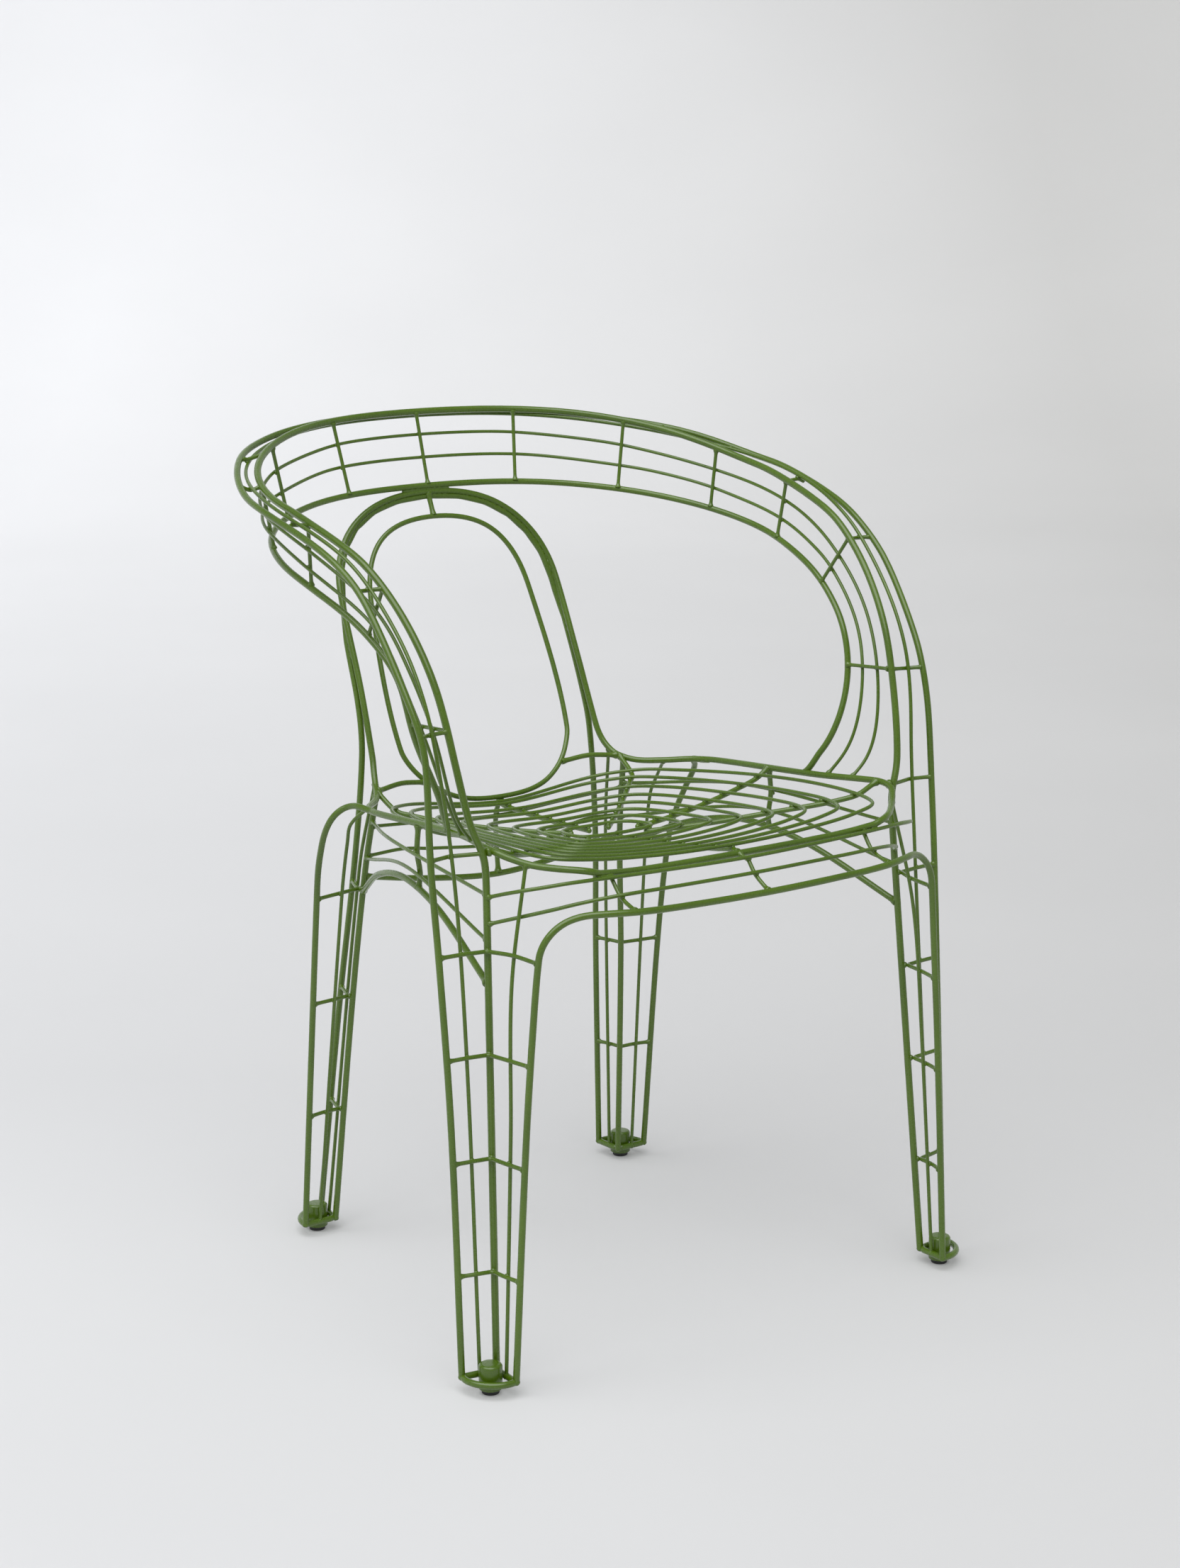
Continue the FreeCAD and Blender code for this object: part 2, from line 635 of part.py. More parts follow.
def seat_loop(k):
    """The +X half of one closed seat loop, from the middle of its front to the middle of its back."""
    near = get("loop_front") + get("loop_front_step") * k
    far = DEPTH - get("loop_back") - get("loop_back_step") * k + get("loop_back_ease") * k ** 2
    far = min(far, REAR_EDGE - LOOP_R - GAP - THIN_R)
    near_half = HALF_WIDTH - get("loop_front_inset")
    near_half += get("loop_front_ease") * k ** 2 - get("loop_front_pitch") * k
    far_half = HALF_WIDTH - get("loop_back_inset") - get("loop_back_pitch") * k
    depth = far - near
    plan = spline([
        V(0, near, 0),
        V(near_half * (1 - get("loop_front_cut")), near, 0),
        V(near_half, near + depth * get("loop_front_reach"), 0),
        V(far_half, far - depth * get("loop_back_reach"), 0),
        V(far_half * (1 - get("loop_back_cut")), far, 0),
        V(0, far, 0),
    ])
    return [V(p.x, p.y, seat_height_at(p.x, p.y)) for p in plan]


loops = [seat_loop(k) for k in range(int(get("seat_loops")))]
for k, half in enumerate(loops):
    add("seat_loop_%d" % (k + 1), [wire(half + mirrored(half[1:-1])[::-1], THIN_R, True)])

CENTRE = (loops[-1][0] + loops[-1][-1]) * 0.5


def plan_crossing(path, a, b):
    """Where a path crosses the upright plane through two points, between them."""
    across_plane = V(-(b.y - a.y), b.x - a.x, 0)
    for p, q in zip(path, path[1:]):
        dp = (p - a).dot(across_plane)
        dq = (q - a).dot(across_plane)
        if dp * dq <= 0 and dp != dq:
            spot = p + (q - p) * (dp / (dp - dq))
            share = (spot - a).dot(b - a)
            if 0 < share < V(b.x - a.x, b.y - a.y, 0).Length ** 2:
                return spot
    return None


def spoke(rail, rail_radius, rail_path):
    """A spoke from a rail to just inside the smallest loop, which touches every loop from below."""
    flat_rail = V(rail.x, rail.y, CENTRE.z)
    drop = V(0, 0, THIN_R + LOOP_R + GAP)
    contacts = [plan_crossing(half, flat_rail, CENTRE) for half in loops]
    contacts = [spot - drop for spot in contacts if spot is not None]
    inward = unit(V(CENTRE.x - contacts[-1].x, CENTRE.y - contacts[-1].y, 0))
    inner = contacts[-1] + inward * get("spoke_past")
    path = [inner] + contacts[::-1] + [rail]
    return butt(path, LOOP_R, rail_path, rail_radius)


corner_target = nearest(frame, V(HALF_WIDTH, 0, SEAT))[0]
mid_target = side_frame_at(post_y)
rear_corner_target = nearest(frame, frame_bends[8])[0]
corner_spoke = spoke(corner_target, FRAME_R, frame)
mid_spoke = spoke(mid_target, FRAME_R, frame)
rear_corner_spoke = spoke(rear_corner_target, FRAME_R, frame)
front_spoke = wire(spoke(frame[0], FRAME_R, frame), LOOP_R)
below_loop = nearest(rear_post, loops[0][-1] - V(0, 0, THIN_R + GAP + LOOP_R))[0]
rear_target = V(0, below_loop.y, below_loop.z)
rear_spoke = wire(spoke(rear_target, LOOP_R, rear_post), LOOP_R)
add("seat_spokes_front", [front_spoke, wire(corner_spoke, LOOP_R), wire(mirrored(corner_spoke), LOOP_R)])
add("seat_spokes_side", [wire(mid_spoke, LOOP_R), wire(mirrored(mid_spoke), LOOP_R)])
rear_pair = [wire(rear_corner_spoke, LOOP_R), wire(mirrored(rear_corner_spoke), LOOP_R)]
add("seat_spokes_rear", [rear_spoke] + rear_pair)


# Cross ties of the legs: one bent wire at each height, which passes the inner wires on their open side
def leg_tie(height, wires, sides):
    """The tie from one edge of a leg over its corner to the other, on the open side of the wires."""
    edge_a, inner_a, corner, inner_b, edge_b = spots_on(wires, 2, height, True)
    a = unit(edge_a[0] - corner[0])
    b = unit(edge_b[0] - corner[0])
    over_corner = (corner[2] + TIE_R + GAP) / math.sin(a.getAngle(b) / 2)
    path = [
        edge_a[0],
        passing(*inner_a, a, TIE_R, sides[0]),
        corner[0] + unit(a + b) * over_corner,
        passing(*inner_b, b, TIE_R, sides[1]),
        edge_b[0],
    ]
    path = settled(path, wires[1:-1], TIE_R)
    return butt_both(path, TIE_R, *edge_a[1:], *edge_b[1:])


FRONT_LEG = [(outer, FRAME_R), (middle, THIN_R), (top, CORNER_R), (front_thin, THIN_R), (arch, FRAME_R)]
REAR_LEG = [
    (rear_side, FRAME_R), (rear_side_thin, THIN_R), (rear_corner, FRAME_R),
    (rear_back_thin, THIN_R), (rear_back, FRAME_R),
]
front_ties = []
for i in range(1, 5):
    height = SEAT - get("front_tie_%d_drop" % i)
    front_ties.append(wire(leg_tie(height, FRONT_LEG, (V(0, -1, 0), V(1, 0, 0))), TIE_R))
add_pair("front_leg_ties", front_ties)
rear_ties = []
for i in range(1, 4):
    height = SEAT - get("rear_tie_%d_drop" % i)
    rear_ties.append(wire(leg_tie(height, REAR_LEG, (V(0, 1, 0), V(1, 0, 0))), TIE_R))
add_pair("rear_leg_ties", rear_ties)


# Cross ties of the arm band, from the top rim to the lower rim, and out to the outer rim
def band_tie(axis, top_at, low_at):
    """A tie inside the band: past both band wires on the sitter's side."""
    wires = [(top, CORNER_R), (band_upper, THIN_R), (band_lower, THIN_R), (low, FRAME_R)]
    spots = []
    for i, (path, radius) in enumerate(wires):
        level_at = top_at + (low_at - top_at) * i / (len(wires) - 1)
        spots.append((crossing(path, axis, level_at), path, radius))
    start = spots[0][0]
    return lace(spots, TIE_R, V(-start.x, CENTRE.y - start.y, 0))


def rim_tie(axis, at):
    """A tie from the top rim out to the outer rim, past the thin rim between them."""
    spots = spots_on([(top, CORNER_R), (middle, THIN_R), (outer, FRAME_R)], axis, at)
    away = spots[0][0] - V(0, CENTRE.y, SEAT)
    return lace(spots, TIE_R, V(0, away.y, away.z) if axis == 2 else V(0, 0, 1))


back_stations = [
    (0, HALF_WIDTH - get("tie_1_top_inset"), HALF_WIDTH - get("tie_1_low_inset")),
    (0, HALF_WIDTH - get("tie_2_top_inset"), HALF_WIDTH - get("tie_2_low_inset")),
    (1, DEPTH - get("tie_3_top_along"), DEPTH - get("tie_3_low_along")),
    (1, DEPTH - get("tie_4_top_along"), DEPTH - get("tie_4_low_along")),
    (1, get("tie_5_top_along"), get("tie_5_low_along")),
    (2, SEAT + get("tie_6_rise"), SEAT + get("tie_6_rise")),
]
middle_tie = band_tie(0, 0, 0)
band_ties = [wire(middle_tie, TIE_R)]
for station in back_stations:
    half_tie = band_tie(*station)
    band_ties += [wire(half_tie, TIE_R), wire(mirrored(half_tie), TIE_R)]
add("arm_band_ties", band_ties)
rim_ties = []
for axis, at in (
    (1, DEPTH - get("rim_tie_along")),
    (1, DEPTH - get("tie_3_top_along")),
    (1, DEPTH - get("tie_4_top_along")),
    (1, get("tie_5_top_along")),
    (2, SEAT + get("tie_6_rise")),
    (2, SEAT + get("tie_7_rise")),
):
    half_tie = rim_tie(axis, at)
    rim_ties += [wire(half_tie, TIE_R), wire(mirrored(half_tie), TIE_R)]
add("rim_ties", rim_ties)

# Foot rings, bosses and glides
FEET = {
    "front": (front_foot, boss_centre(*FRONT_CORNERS)),
    "rear": (rear_foot_path, boss_centre(*REAR_CORNERS)),
}
for place, (ring_path, centre) in FEET.items():
    add_pair("%s_foot_ring" % place, [wire(ring_path, FRAME_R, True)])
    for side, sign in (("left", 1), ("right", -1)):
        boss = doc.addObject("Part::Cylinder", "%s_foot_boss_%s" % (place, side))
        boss.Label = "%s_foot_boss_%s" % (place, side)
        boss.setExpression("Radius", "<<sizes>>.boss_diameter / 2")
        boss.setExpression("Height", "<<sizes>>.boss_height")
        boss.Placement = FreeCAD.Placement(V(sign * centre.x, centre.y, 0), FreeCAD.Rotation())
        pieces.append(boss)

glides = []
for ring_path, centre in FEET.values():
    for sign in (1, -1):
        spot = V(sign * centre.x, centre.y, -get("glide_height"))
        glides.append(Part.makeCylinder(get("glide_diameter") / 2, get("glide_height"), spot))
add("glides", glides)

# Every piece is lifted by the glides and brought over the origin
doc.recompute()
whole = FreeCAD.BoundBox()
for piece in pieces:
    whole.add(piece.Shape.optimalBoundingBox(False, False))
shift = V(0, -(whole.YMin + whole.YMax) / 2, get("glide_height"))
for piece in pieces:
    piece.Placement = FreeCAD.Placement(piece.Placement.Base + shift, piece.Placement.Rotation)
doc.recompute()

for item in doc.Objects:
    if "Invalid" in item.State or "Error" in item.State:
        raise ValueError("failed object: " + item.Name)
for piece in pieces:
    if piece.Shape.isNull() or not piece.Shape.isValid():
        raise ValueError("bad shape: " + piece.Label)
for piece in pieces:
    piece.Shape.exportStep("parts/%s.step" % piece.Label)
print(len(pieces), "nodes,", sum(len(p.Shape.Solids) for p in pieces), "solids, box", whole)
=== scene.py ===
# The looks of a wire armchair. Every CAD wire is replaced by a smooth round one that follows the same
# line, with its weld fillets, its coating's lumps and a satin powder coat. Metres, +Z up, front at -Y.

import math
from itertools import combinations, product

import bmesh
import bpy
import numpy as np
from mathutils import Matrix, Vector, noise


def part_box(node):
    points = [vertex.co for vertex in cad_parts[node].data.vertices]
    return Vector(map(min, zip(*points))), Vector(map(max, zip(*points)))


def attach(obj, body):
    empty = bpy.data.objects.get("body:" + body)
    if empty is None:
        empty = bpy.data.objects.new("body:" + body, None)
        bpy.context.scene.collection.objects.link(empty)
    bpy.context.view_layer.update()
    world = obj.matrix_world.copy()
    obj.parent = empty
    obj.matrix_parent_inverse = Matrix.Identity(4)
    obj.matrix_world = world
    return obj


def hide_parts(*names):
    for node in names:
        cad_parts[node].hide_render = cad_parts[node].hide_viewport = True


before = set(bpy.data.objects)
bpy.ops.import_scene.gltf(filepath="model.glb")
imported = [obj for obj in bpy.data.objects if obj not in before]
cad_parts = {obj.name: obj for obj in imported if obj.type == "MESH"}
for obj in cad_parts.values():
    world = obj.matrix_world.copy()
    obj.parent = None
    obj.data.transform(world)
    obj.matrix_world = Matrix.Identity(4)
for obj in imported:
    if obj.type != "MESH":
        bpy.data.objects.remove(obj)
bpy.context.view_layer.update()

MM = 0.001
BODY = "root"

# The photograph's camera
CAMERA_AT = (-1.5029, -2.1507, 1.0373)
CAMERA_YAW = 35.18          # degrees from +Y towards +X
CAMERA_PITCH = 12.74        # degrees down
CAMERA_ROLL = -0.1226       # degrees
FOCAL_PIXELS = 4192
PHOTO_WIDTH = 1665
SENSOR_WIDTH = 36           # millimetres, as Blender's lenses have it
FARTHEST_SEEN = 60.0

# The thickness of the coating over each wire, which the bare CAD wires lack
COATING = 0.2 * MM
BAND_COATING = 0.08 * MM
TOP_RIM_COATING = 0.03 * MM

# The lines of the wires
MERGED = 0.01 * MM          # points of a CAD mesh nearer than this are one
LEAST_TURN = 0.4            # degrees; a corner that turns less is left out
SHARP_BEND = 33             # degrees, above which a corner is a real bend and is rounded off
BENT_PARTS = ("tie", "ring", "post", "links")
BEND_RADIUS = 2.6           # of a real bend, in wire radii
BEND_SHARE = 0.42           # the most that a real bend takes of a straight run beside it
STRAIGHT = 0.01             # radians, below which a stretch of curve is taken as straight
TURN_STEP = 5               # degrees between two sections of a curved wire
RUN_STEP = 7 * MM           # longest distance between two sections
EASED_STEP = 3.2 * MM       # between two sections of the rims, the band's wires and the seat's loops
RIM_EASE = 12 * MM          # how widely the turns of the rims and the band's wires are spread
TIP_EASE = 6 * MM           # how widely the tips of the seat's loops are rounded
BELL_REACH = 3              # how far the weights for that reach, in these widths

# Where the photograph shows the band's two thin wires, as shares of the way from the top rim to the
# lower rim along each tie, from the tie in the middle of the back to the one on the arm's upright
UPPER_SHARES = (0.28, 0.29, 0.34, 0.34, 0.33, 0.40, 0.34)
LOWER_SHARES = (0.62, 0.63, 0.67, 0.675, 0.70, 0.71, 0.72)
LAST_TIE_DROP = 4 * MM      # the band's foremost ties meet the lower rim this much lower

# The ties across the rims
REAR_TIES = 170 * MM        # those further back pass above the middle rim, the others below it
LEVEL_RIMS = 640 * MM       # those higher up meet the rims a little down round them
TIE_END_SLOPE = 0.6         # how far down that is, as a slope

# The rear legs' edges at the seat frame
EDGE_DROP = 5 * MM          # the left rear leg's side edge passes this much lower there
EDGE_DROP_FROM = 405 * MM   # the height from which it comes down
EDGE_DROP_OVER = 25 * MM    # the rise over which it does so
EDGE_NEAR_RAIL = 20 * MM    # nearer than this it is kept below the frame's line
EDGE_BELOW_RAIL = 2 * MM    # by this much
CLIMB_STEP = 8 * MM         # between the points that lead the back edges over the splat's arch
MOST_CLIMB_STEPS = 60
TURN_TO_INSIDE = 60 * MM    # over which they go round to the inner rear side of the frame
CLIMB_BEHIND = 0.5          # their way from the frame there: so much to the rear
CLIMB_INSIDE = 0.85         # and so much inwards
CLIMB_CLOSER = 0.28         # the share of their distance from the frame that they lose
ARCH_MIDDLE = 1.5 * MM      # they end when they are nearer than this to the chair's middle

# Where two of the seat's spokes end on the right half of the seat frame: in the CAD, in the photograph
SPOKE_ENDS = (
    ((0.2068, -0.1853, 0.4467), (0.2116, -0.1682, 0.4500)),
    ((0.1431, 0.1103, 0.4268), (0.1368, 0.1263, 0.4318)),
)
SAME_END = 4 * MM           # how near to the CAD's place such an end is found

# The side links of the back loop
SIDE_LINK_FROM = 100 * MM   # links that reach further out than this are side links
LINK_BOW = 1.5 * MM         # they bow up by this much
LINK_SHIFT = (4 * MM, -4 * MM, -6 * MM)  # and meet the frame so much further out, forward and lower

# Which wires are welded
WELD_REACH = 1.0 * MM       # surfaces nearer than this are welded
SEATED = 0.1 * MM           # left between a wire and one that it is set against
PARALLEL = 1e-16            # below which two chords are taken as parallel
SIDE_BY_SIDE = 0.94         # cosine, above which two wires run side by side
WELDS_APART = 7 * MM        # between two welds where wires cross
LONG_WELDS_APART = 45 * MM  # between two welds where they run side by side
END_REACH = 0.8             # a weld nearer than this to a wire's end, in its radii, is at that end

# The welded ends of wires
GRAZING = 0.6               # sine, below which an end runs out along the other wire
LEAST_SINE = 0.7            # sine, below which a slanting end isn't made longer still
END_SWELL = 0.75            # how much thicker a wire is at its weld, as a share of its radius
RIM_TIE_SWELL = 0.3
WIDEST_SWELL = 1.3          # the thickest that it gets, in radii of the other wire
SWELL_REACH = 0.95          # how far from the weld it is thicker, in its radii
SWELL_POWER = 1.4           # how steeply that ends
SWELL_START = 0.6           # how much of the stretch inside the other wire has the full swell
SINK_LENGTH = 22 * MM       # over which an end that runs out along another wire goes down into it
SINK_DEPTH = 0.95           # how far down, as a share of the way to the other wire's line
TIP_ROUNDING = 0.8          # length of a free end's rounding, in radii
TIP_LEFT = 0.985            # how far the rounding goes, so that a small flat is left
END_SECTIONS = (0.0, 0.12, 0.3, 0.55, 0.85, 1.2, 1.6, 2.1, 2.8, 3.8)  # their places from an end, in radii
LEAST_SECTION = 0.08        # between two sections, in radii
NO_LENGTH = 1e-6            # in place of no length, for an end that doesn't run in

# Drops of weld: half their length and width in radii of the thinner wire, or of the foot ring, and
# half their thickness in gaps between the lines of the two wires, or in radii of the ring
DROP_LENGTH = 1.5
DROP_WIDTH = 1.4
DROP_DRAWN_OUT = 1.3        # added to the length where the wires run side by side
DROP_NARROWED = 0.4         # taken off the width there
DROP_THICKNESS = 0.42
KNUCKLE_WIDTH = 1.12
KNUCKLE_THICKNESS = 1.06
LONG_WELD = 24 * MM         # half the longest weld along two wires
GROOVE_GAP = 1.6 * MM       # the widest gap between two wires that such a weld fills
GROOVE_DROP = 5.5 * MM      # half the length of the drops that it is made of
GROOVE_WIDTH = 0.72
GROOVE_THICKNESS = 0.40

# The meshes
STEEP = 0.8                 # rise of a line above which its sections start from the X axis, not from Z
THICK_WIRE = 2 * MM         # radius above which a wire has more sides
THICK_SIDES = 20
THIN_SIDES = 14
DROP_ROWS = 7
DROP_SIDES = 14
ROUND_SIDES = 56
ROUNDING_STEPS = 6
FLAT_BELOW = 0.5            # where a round piece's flats have a row of points, in radii
FLAT_ABOVE = 0.4

# Lumps, each as a height, which is a share of the thickness below it, and a fineness per metre
COAT_LUMPS = ((0.022, 55), (0.016, 210))
DROP_LUMPS = (0.14, 420)

# The feet
BOSS_RISE = 4 * MM          # the photograph's bosses stand this much higher above their rings
BOSS_ROUNDS = (0.8 * MM, 2.6 * MM)   # radii of the rounded edges, below and above
GLIDE_ROUNDS = (0.9 * MM, 0.3 * MM)

# Colours, in linear red, green and blue
COAT_DARK = (0.058, 0.116, 0.001)
COAT_LIGHT = (0.078, 0.148, 0.004)
GLIDE_DARK = (0.012, 0.013, 0.012)
GLIDE_SCUFFED = (0.035, 0.036, 0.033)
# The paper's painted light: paler where the light falls on the left, painted shade towards the right
PAPER_PAINTED_LIT_LEFT = (0.62, 0.625, 0.64)
PAPER_PAINTED_SHADE_RIGHT = (0.40, 0.40, 0.396)
STUDIO_AIR = (0.93, 0.95, 0.97, 1)

# The studio's bowl, and the stretches over which its paper changes in tone
FLOOR_FLAT = 5.0            # radius of the level floor
FLOOR_ROWS = (0.3, 0.7, 1)  # where it has rows of points, as shares of that
WALL_AT = 9.0
WALL_TOP = 7.0
BOWL_SIDES = 96
# The studio's bowl, and the stretches over which painted light and shade change its paper's colour
BOWL_STEPS = 12
PAPER_ACROSS = (-1.5, 1.5)  # from the left to the right of the picture
PAPER_ALONG = (-0.6, 1.4)   # from near the camera to far behind the chair
PAPER_PAINTED_FALLOFF = ((0.0, 1.0), (1.0, 0.87), (0.3, 0.95), (0.55, 0.88))  # along it, both ends first


class Wire:
    """A wire: the CAD node that it is in, the corners of its line, its radius, and if it is a loop."""

    def __init__(self, node, points, radius, closed):
        self.node = node
        self.points = points
        self.radius = radius
        self.closed = closed
        # For each welded end, 0 or -1, how far it runs in and how much it swells
        self.ends = {}
        # For each end that runs out along another wire, that wire
        self.sinks = {}


# The wires' lines, read from the CAD nodes

def islands(bm):
    """The separate solids of a mesh, each a list of its points."""
    seen = set()
    found = []
    for start in bm.verts:
        if start in seen:
            continue
        solid = []
        stack = [start]
        seen.add(start)
        while stack:
            spot = stack.pop()
            solid.append(spot)
            for edge in spot.link_edges:
                other = edge.other_vert(spot)
                if other not in seen:
                    seen.add(other)
                    stack.append(other)
        found.append(solid)
    return found


def neighbours(ring, known):
    """The points that a ring's edges lead to, without those that are known."""
    found = []
    for spot in ring:
        for edge in spot.link_edges:
            other = edge.other_vert(spot)
            if other not in known and other not in found:
                found.append(other)
    return found


def longest_chord(solid):
    """The two rings of points at the ends of a faceted wire's longest chord."""
    edges = [edge for spot in solid for edge in spot.link_edges if edge.verts[0] is spot]
    longest = max(edges, key=lambda edge: edge.calc_length())
    long_enough = longest.calc_length() / 2
    faces = set()
    stack = [longest.link_faces[0]]
    while stack:
        face = stack.pop()
        if face in faces:
            continue
        faces.add(face)
        for edge in face.edges:
            if edge.calc_length() > long_enough:
                stack.extend(edge.link_faces)
    run = (longest.verts[1].co - longest.verts[0].co).normalized()
    corners = [spot for spot in solid if any(face in faces for face in spot.link_faces)]
    middle = centre(corners)
    first = [spot for spot in corners if (spot.co - middle).dot(run) < 0]
    second = [spot for spot in corners if (spot.co - middle).dot(run) >= 0]
    return first, second


def onward(ring, known):
    """A ring and all those beyond it, in order."""
    found = []
    while ring:
        found.append(ring)
        known.update(ring)
        ring = neighbours(ring, known)
    return found


def centre(ring):
    """The middle of a ring of points."""
    return sum((spot.co for spot in ring), Vector()) / len(ring)


def round_radius(first, second):
    """The radius of the round wire that has the cross section area of a faceted one."""
    a = centre(first)
    run = (centre(second) - a).normalized()
    reach = sum(((spot.co - a) - run * (spot.co - a).dot(run)).length for spot in first) / len(first)
    slice_turn = 2 * math.pi / len(first)
    return reach * math.sqrt(math.sin(slice_turn) / slice_turn)


def wire_from(name, solid):
    """The wire that a faceted solid stands for."""
    first, second = longest_chord(solid)
    if len(first) != len(second):
        raise ValueError(f"{name} isn't a wire")
    known = set(first) | set(second)
    before = onward(first, known)
    ends_meet = len(before) > 2 and any(
        edge.other_vert(spot) in second for spot in before[-1] for edge in spot.link_edges
    )
    after = [second] if ends_meet else onward(second, known)
    rings = before[::-1] + after
    if any(len(ring) != len(first) for ring in rings):
        raise ValueError(f"{name} has a broken wire")
    points = np.array([centre(ring) for ring in rings])
    return Wire(name, points, round_radius(first, second), ends_meet)


def solids_of(name, read):
    """What a function reads from each solid of a CAD node."""
    bm = bmesh.new()
    bm.from_mesh(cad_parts[name].data)
    bmesh.ops.remove_doubles(bm, verts=bm.verts, dist=MERGED)
    found = [read(solid) for solid in islands(bm)]
    bm.free()
    return found


def wires_of(name):
    """Every wire of a CAD node, with its coating."""
    if name == "top_rim":
        coating = TOP_RIM_COATING
    elif name.startswith(("band_wire", "arm_band")):
        coating = BAND_COATING
    else:
        coating = COATING
    found = solids_of(name, lambda solid: wire_from(name, solid))
    for wire in found:
        wire.radius += coating
    return found


def wires_in(name):
    """The wires of a CAD node, from the list of all wires."""
    return [wire for wire in all_wires if wire.node == name]


def wire_in(name):
    """The only wire of a CAD node."""
    return wires_in(name)[0]


# Smooth lines

def unit(vector):
    """A vector's direction."""
    return vector / np.linalg.norm(vector)


def angle(a, b):
    """Radians between two unit vectors."""
    return math.acos(max(-1.0, min(1.0, float(a @ b))))


def lengths_along(line):
    """The distance of each of a line's points from its start, along the line."""
    return np.concatenate([[0], np.cumsum(np.linalg.norm(np.diff(line, axis=0), axis=1))])


def points_at(line, at, marks):
    """The points of a line at some distances along it, from the distances of its own points."""
    return np.stack([np.interp(marks, at, line[:, k]) for k in range(3)], axis=1)


def without_straight_corners(points, closed):
    """The corners at which a line really turns."""
    kept = []
    count = len(points)
    for i in range(count):
        if not closed and i in (0, count - 1):
            kept.append(points[i])
            continue
        a = unit(points[i] - points[i - 1])
        b = unit(points[(i + 1) % count] - points[i])
        if angle(a, b) > math.radians(LEAST_TURN):
            kept.append(points[i])
    return kept


def knots_of(wire):
    """Points that the smooth line passes, each with its direction. A sharp corner becomes two of them."""
    closed = wire.closed
    points = without_straight_corners(wire.points, closed)
    count = len(points)
    bent = any(part in wire.node for part in BENT_PARTS)
    knots = []
    for i, spot in enumerate(points):
        if not closed and i in (0, count - 1):
            knots.append((spot, None))
            continue
        before = points[i - 1] - spot
        after = points[(i + 1) % count] - spot
        a, b = -unit(before), unit(after)
        turn = angle(a, b)
        if bent and turn > math.radians(SHARP_BEND):
            cut = wire.radius * BEND_RADIUS * math.tan(turn / 2)
            cut = min(cut, BEND_SHARE * np.linalg.norm(before), BEND_SHARE * np.linalg.norm(after))
            knots.append((spot - a * cut, a))
            knots.append((spot + b * cut, b))
        elif "seat_loop" in wire.node:
            way = a * np.linalg.norm(after) + b * np.linalg.norm(before)
            knots.append((spot, unit(way)))
        else:
            knots.append((spot, unit(after - before)))
    if not closed:
        first, last = knots[0][0], knots[-1][0]
        knots[0] = (first, unit(knots[1][0] - first))
        knots[-1] = (last, unit(last - knots[-2][0]))
    return knots


def stretch(start, end):
    """Points of a curve from one knot up to the next, without the next. It is the arc of a circle
    where both directions allow that."""
    (p, p_way), (q, q_way) = start, end
    length = np.linalg.norm(q - p)
    turn = angle(p_way, q_way)
    hold = length / 3
    if turn > STRAIGHT:
        hold = length * (2 / 3) * math.tan(turn / 4) / math.sin(turn / 2)
    p_hold = p + p_way * hold
    q_hold = q - q_way * hold
    steps = max(1, math.ceil(math.degrees(turn) / TURN_STEP), math.ceil(length / RUN_STEP))
    points = []
    for t in np.arange(steps) / steps:
        s = 1 - t
        points.append(p * s ** 3 + p_hold * 3 * s * s * t + q_hold * 3 * s * t * t + q * t ** 3)
    return points


def smooth_line(wire):
    """A dense smooth line through a wire's knots."""
    knots = knots_of(wire)
    following = knots[1:] + knots[:1] if wire.closed else knots[1:]
    line = []
    for start, end in zip(knots, following):
        line += stretch(start, end)
    if not wire.closed:
        line.append(knots[-1][0])
    if "seat_loop" in wire.node:
        return eased(np.array(line), True, TIP_EASE)
    if wire.node.endswith("_rim") or wire.node.startswith("band_wire"):
        return eased(np.array(line), False, RIM_EASE)
    return np.array(line)


def eased(line, closed, ease):
    """A line in even steps, with its turns spread out. An open line keeps its ends."""
    if closed:
        line = np.concatenate([line, line[:1]])
    at = lengths_along(line)
    count = int(at[-1] / EASED_STEP)
    marks = np.arange(count if closed else count + 1) * at[-1] / count
    even = points_at(line, at, marks)
    reach = int(BELL_REACH * ease / EASED_STEP)
    if closed:
        padded = np.concatenate([even[-reach:], even, even[:reach]])
    else:
        padded = np.concatenate([
            2 * even[0] - even[reach:0:-1],
            even,
            2 * even[-1] - even[-2:-reach - 2:-1],
        ])
    weights = np.exp(-0.5 * (np.arange(-reach, reach + 1) * EASED_STEP / ease) ** 2)
    weights /= weights.sum()
    return np.stack([np.convolve(padded[:, k], weights, mode="valid") for k in range(3)], axis=1)


# Where two wires are nearest to each other

def chords(wire):
    """The starts and the ends of a wire's straight chords."""
    if wire.closed:
        return wire.points, np.roll(wire.points, -1, axis=0)
    return wire.points[:-1], wire.points[1:]


def nearest_on(wire, spot):
    """The point of a wire's line that is nearest to a spot."""
    a, b = chords(wire)
    run = b - a
    share = np.clip(((spot - a) * run).sum(-1) / (run * run).sum(-1), 0, 1)
    points = a + run * share[:, None]
    return points[np.linalg.norm(points - spot, axis=1).argmin()]


def distance(wire, spot):
    """How far a spot is from a wire's line."""
    return np.linalg.norm(nearest_on(wire, spot) - spot)


def closest(p1, q1, p2, q2):
    """The closest points of many pairs of chords."""
    d1, d2, r = q1 - p1, q2 - p2, p1 - p2
    a, e, b = (d1 * d1).sum(-1), (d2 * d2).sum(-1), (d1 * d2).sum(-1)
    c, f = (d1 * r).sum(-1), (d2 * r).sum(-1)
    area = a * e - b * b
    s = np.where(area > PARALLEL, np.clip((b * f - c * e) / np.maximum(area, PARALLEL), 0, 1), 0.5)
    t = np.clip((b * s + f) / e, 0, 1)
    s = np.clip((b * t - c) / a, 0, 1)
    return p1 + d1 * s[..., None], p2 + d2 * t[..., None]


def inner_corner(wire, end):
    """The corner next to a wire's end, which is 0 or -1."""
    return wire.points[1 if end == 0 else -2]


# Where the photograph shows a wire a little off its CAD line

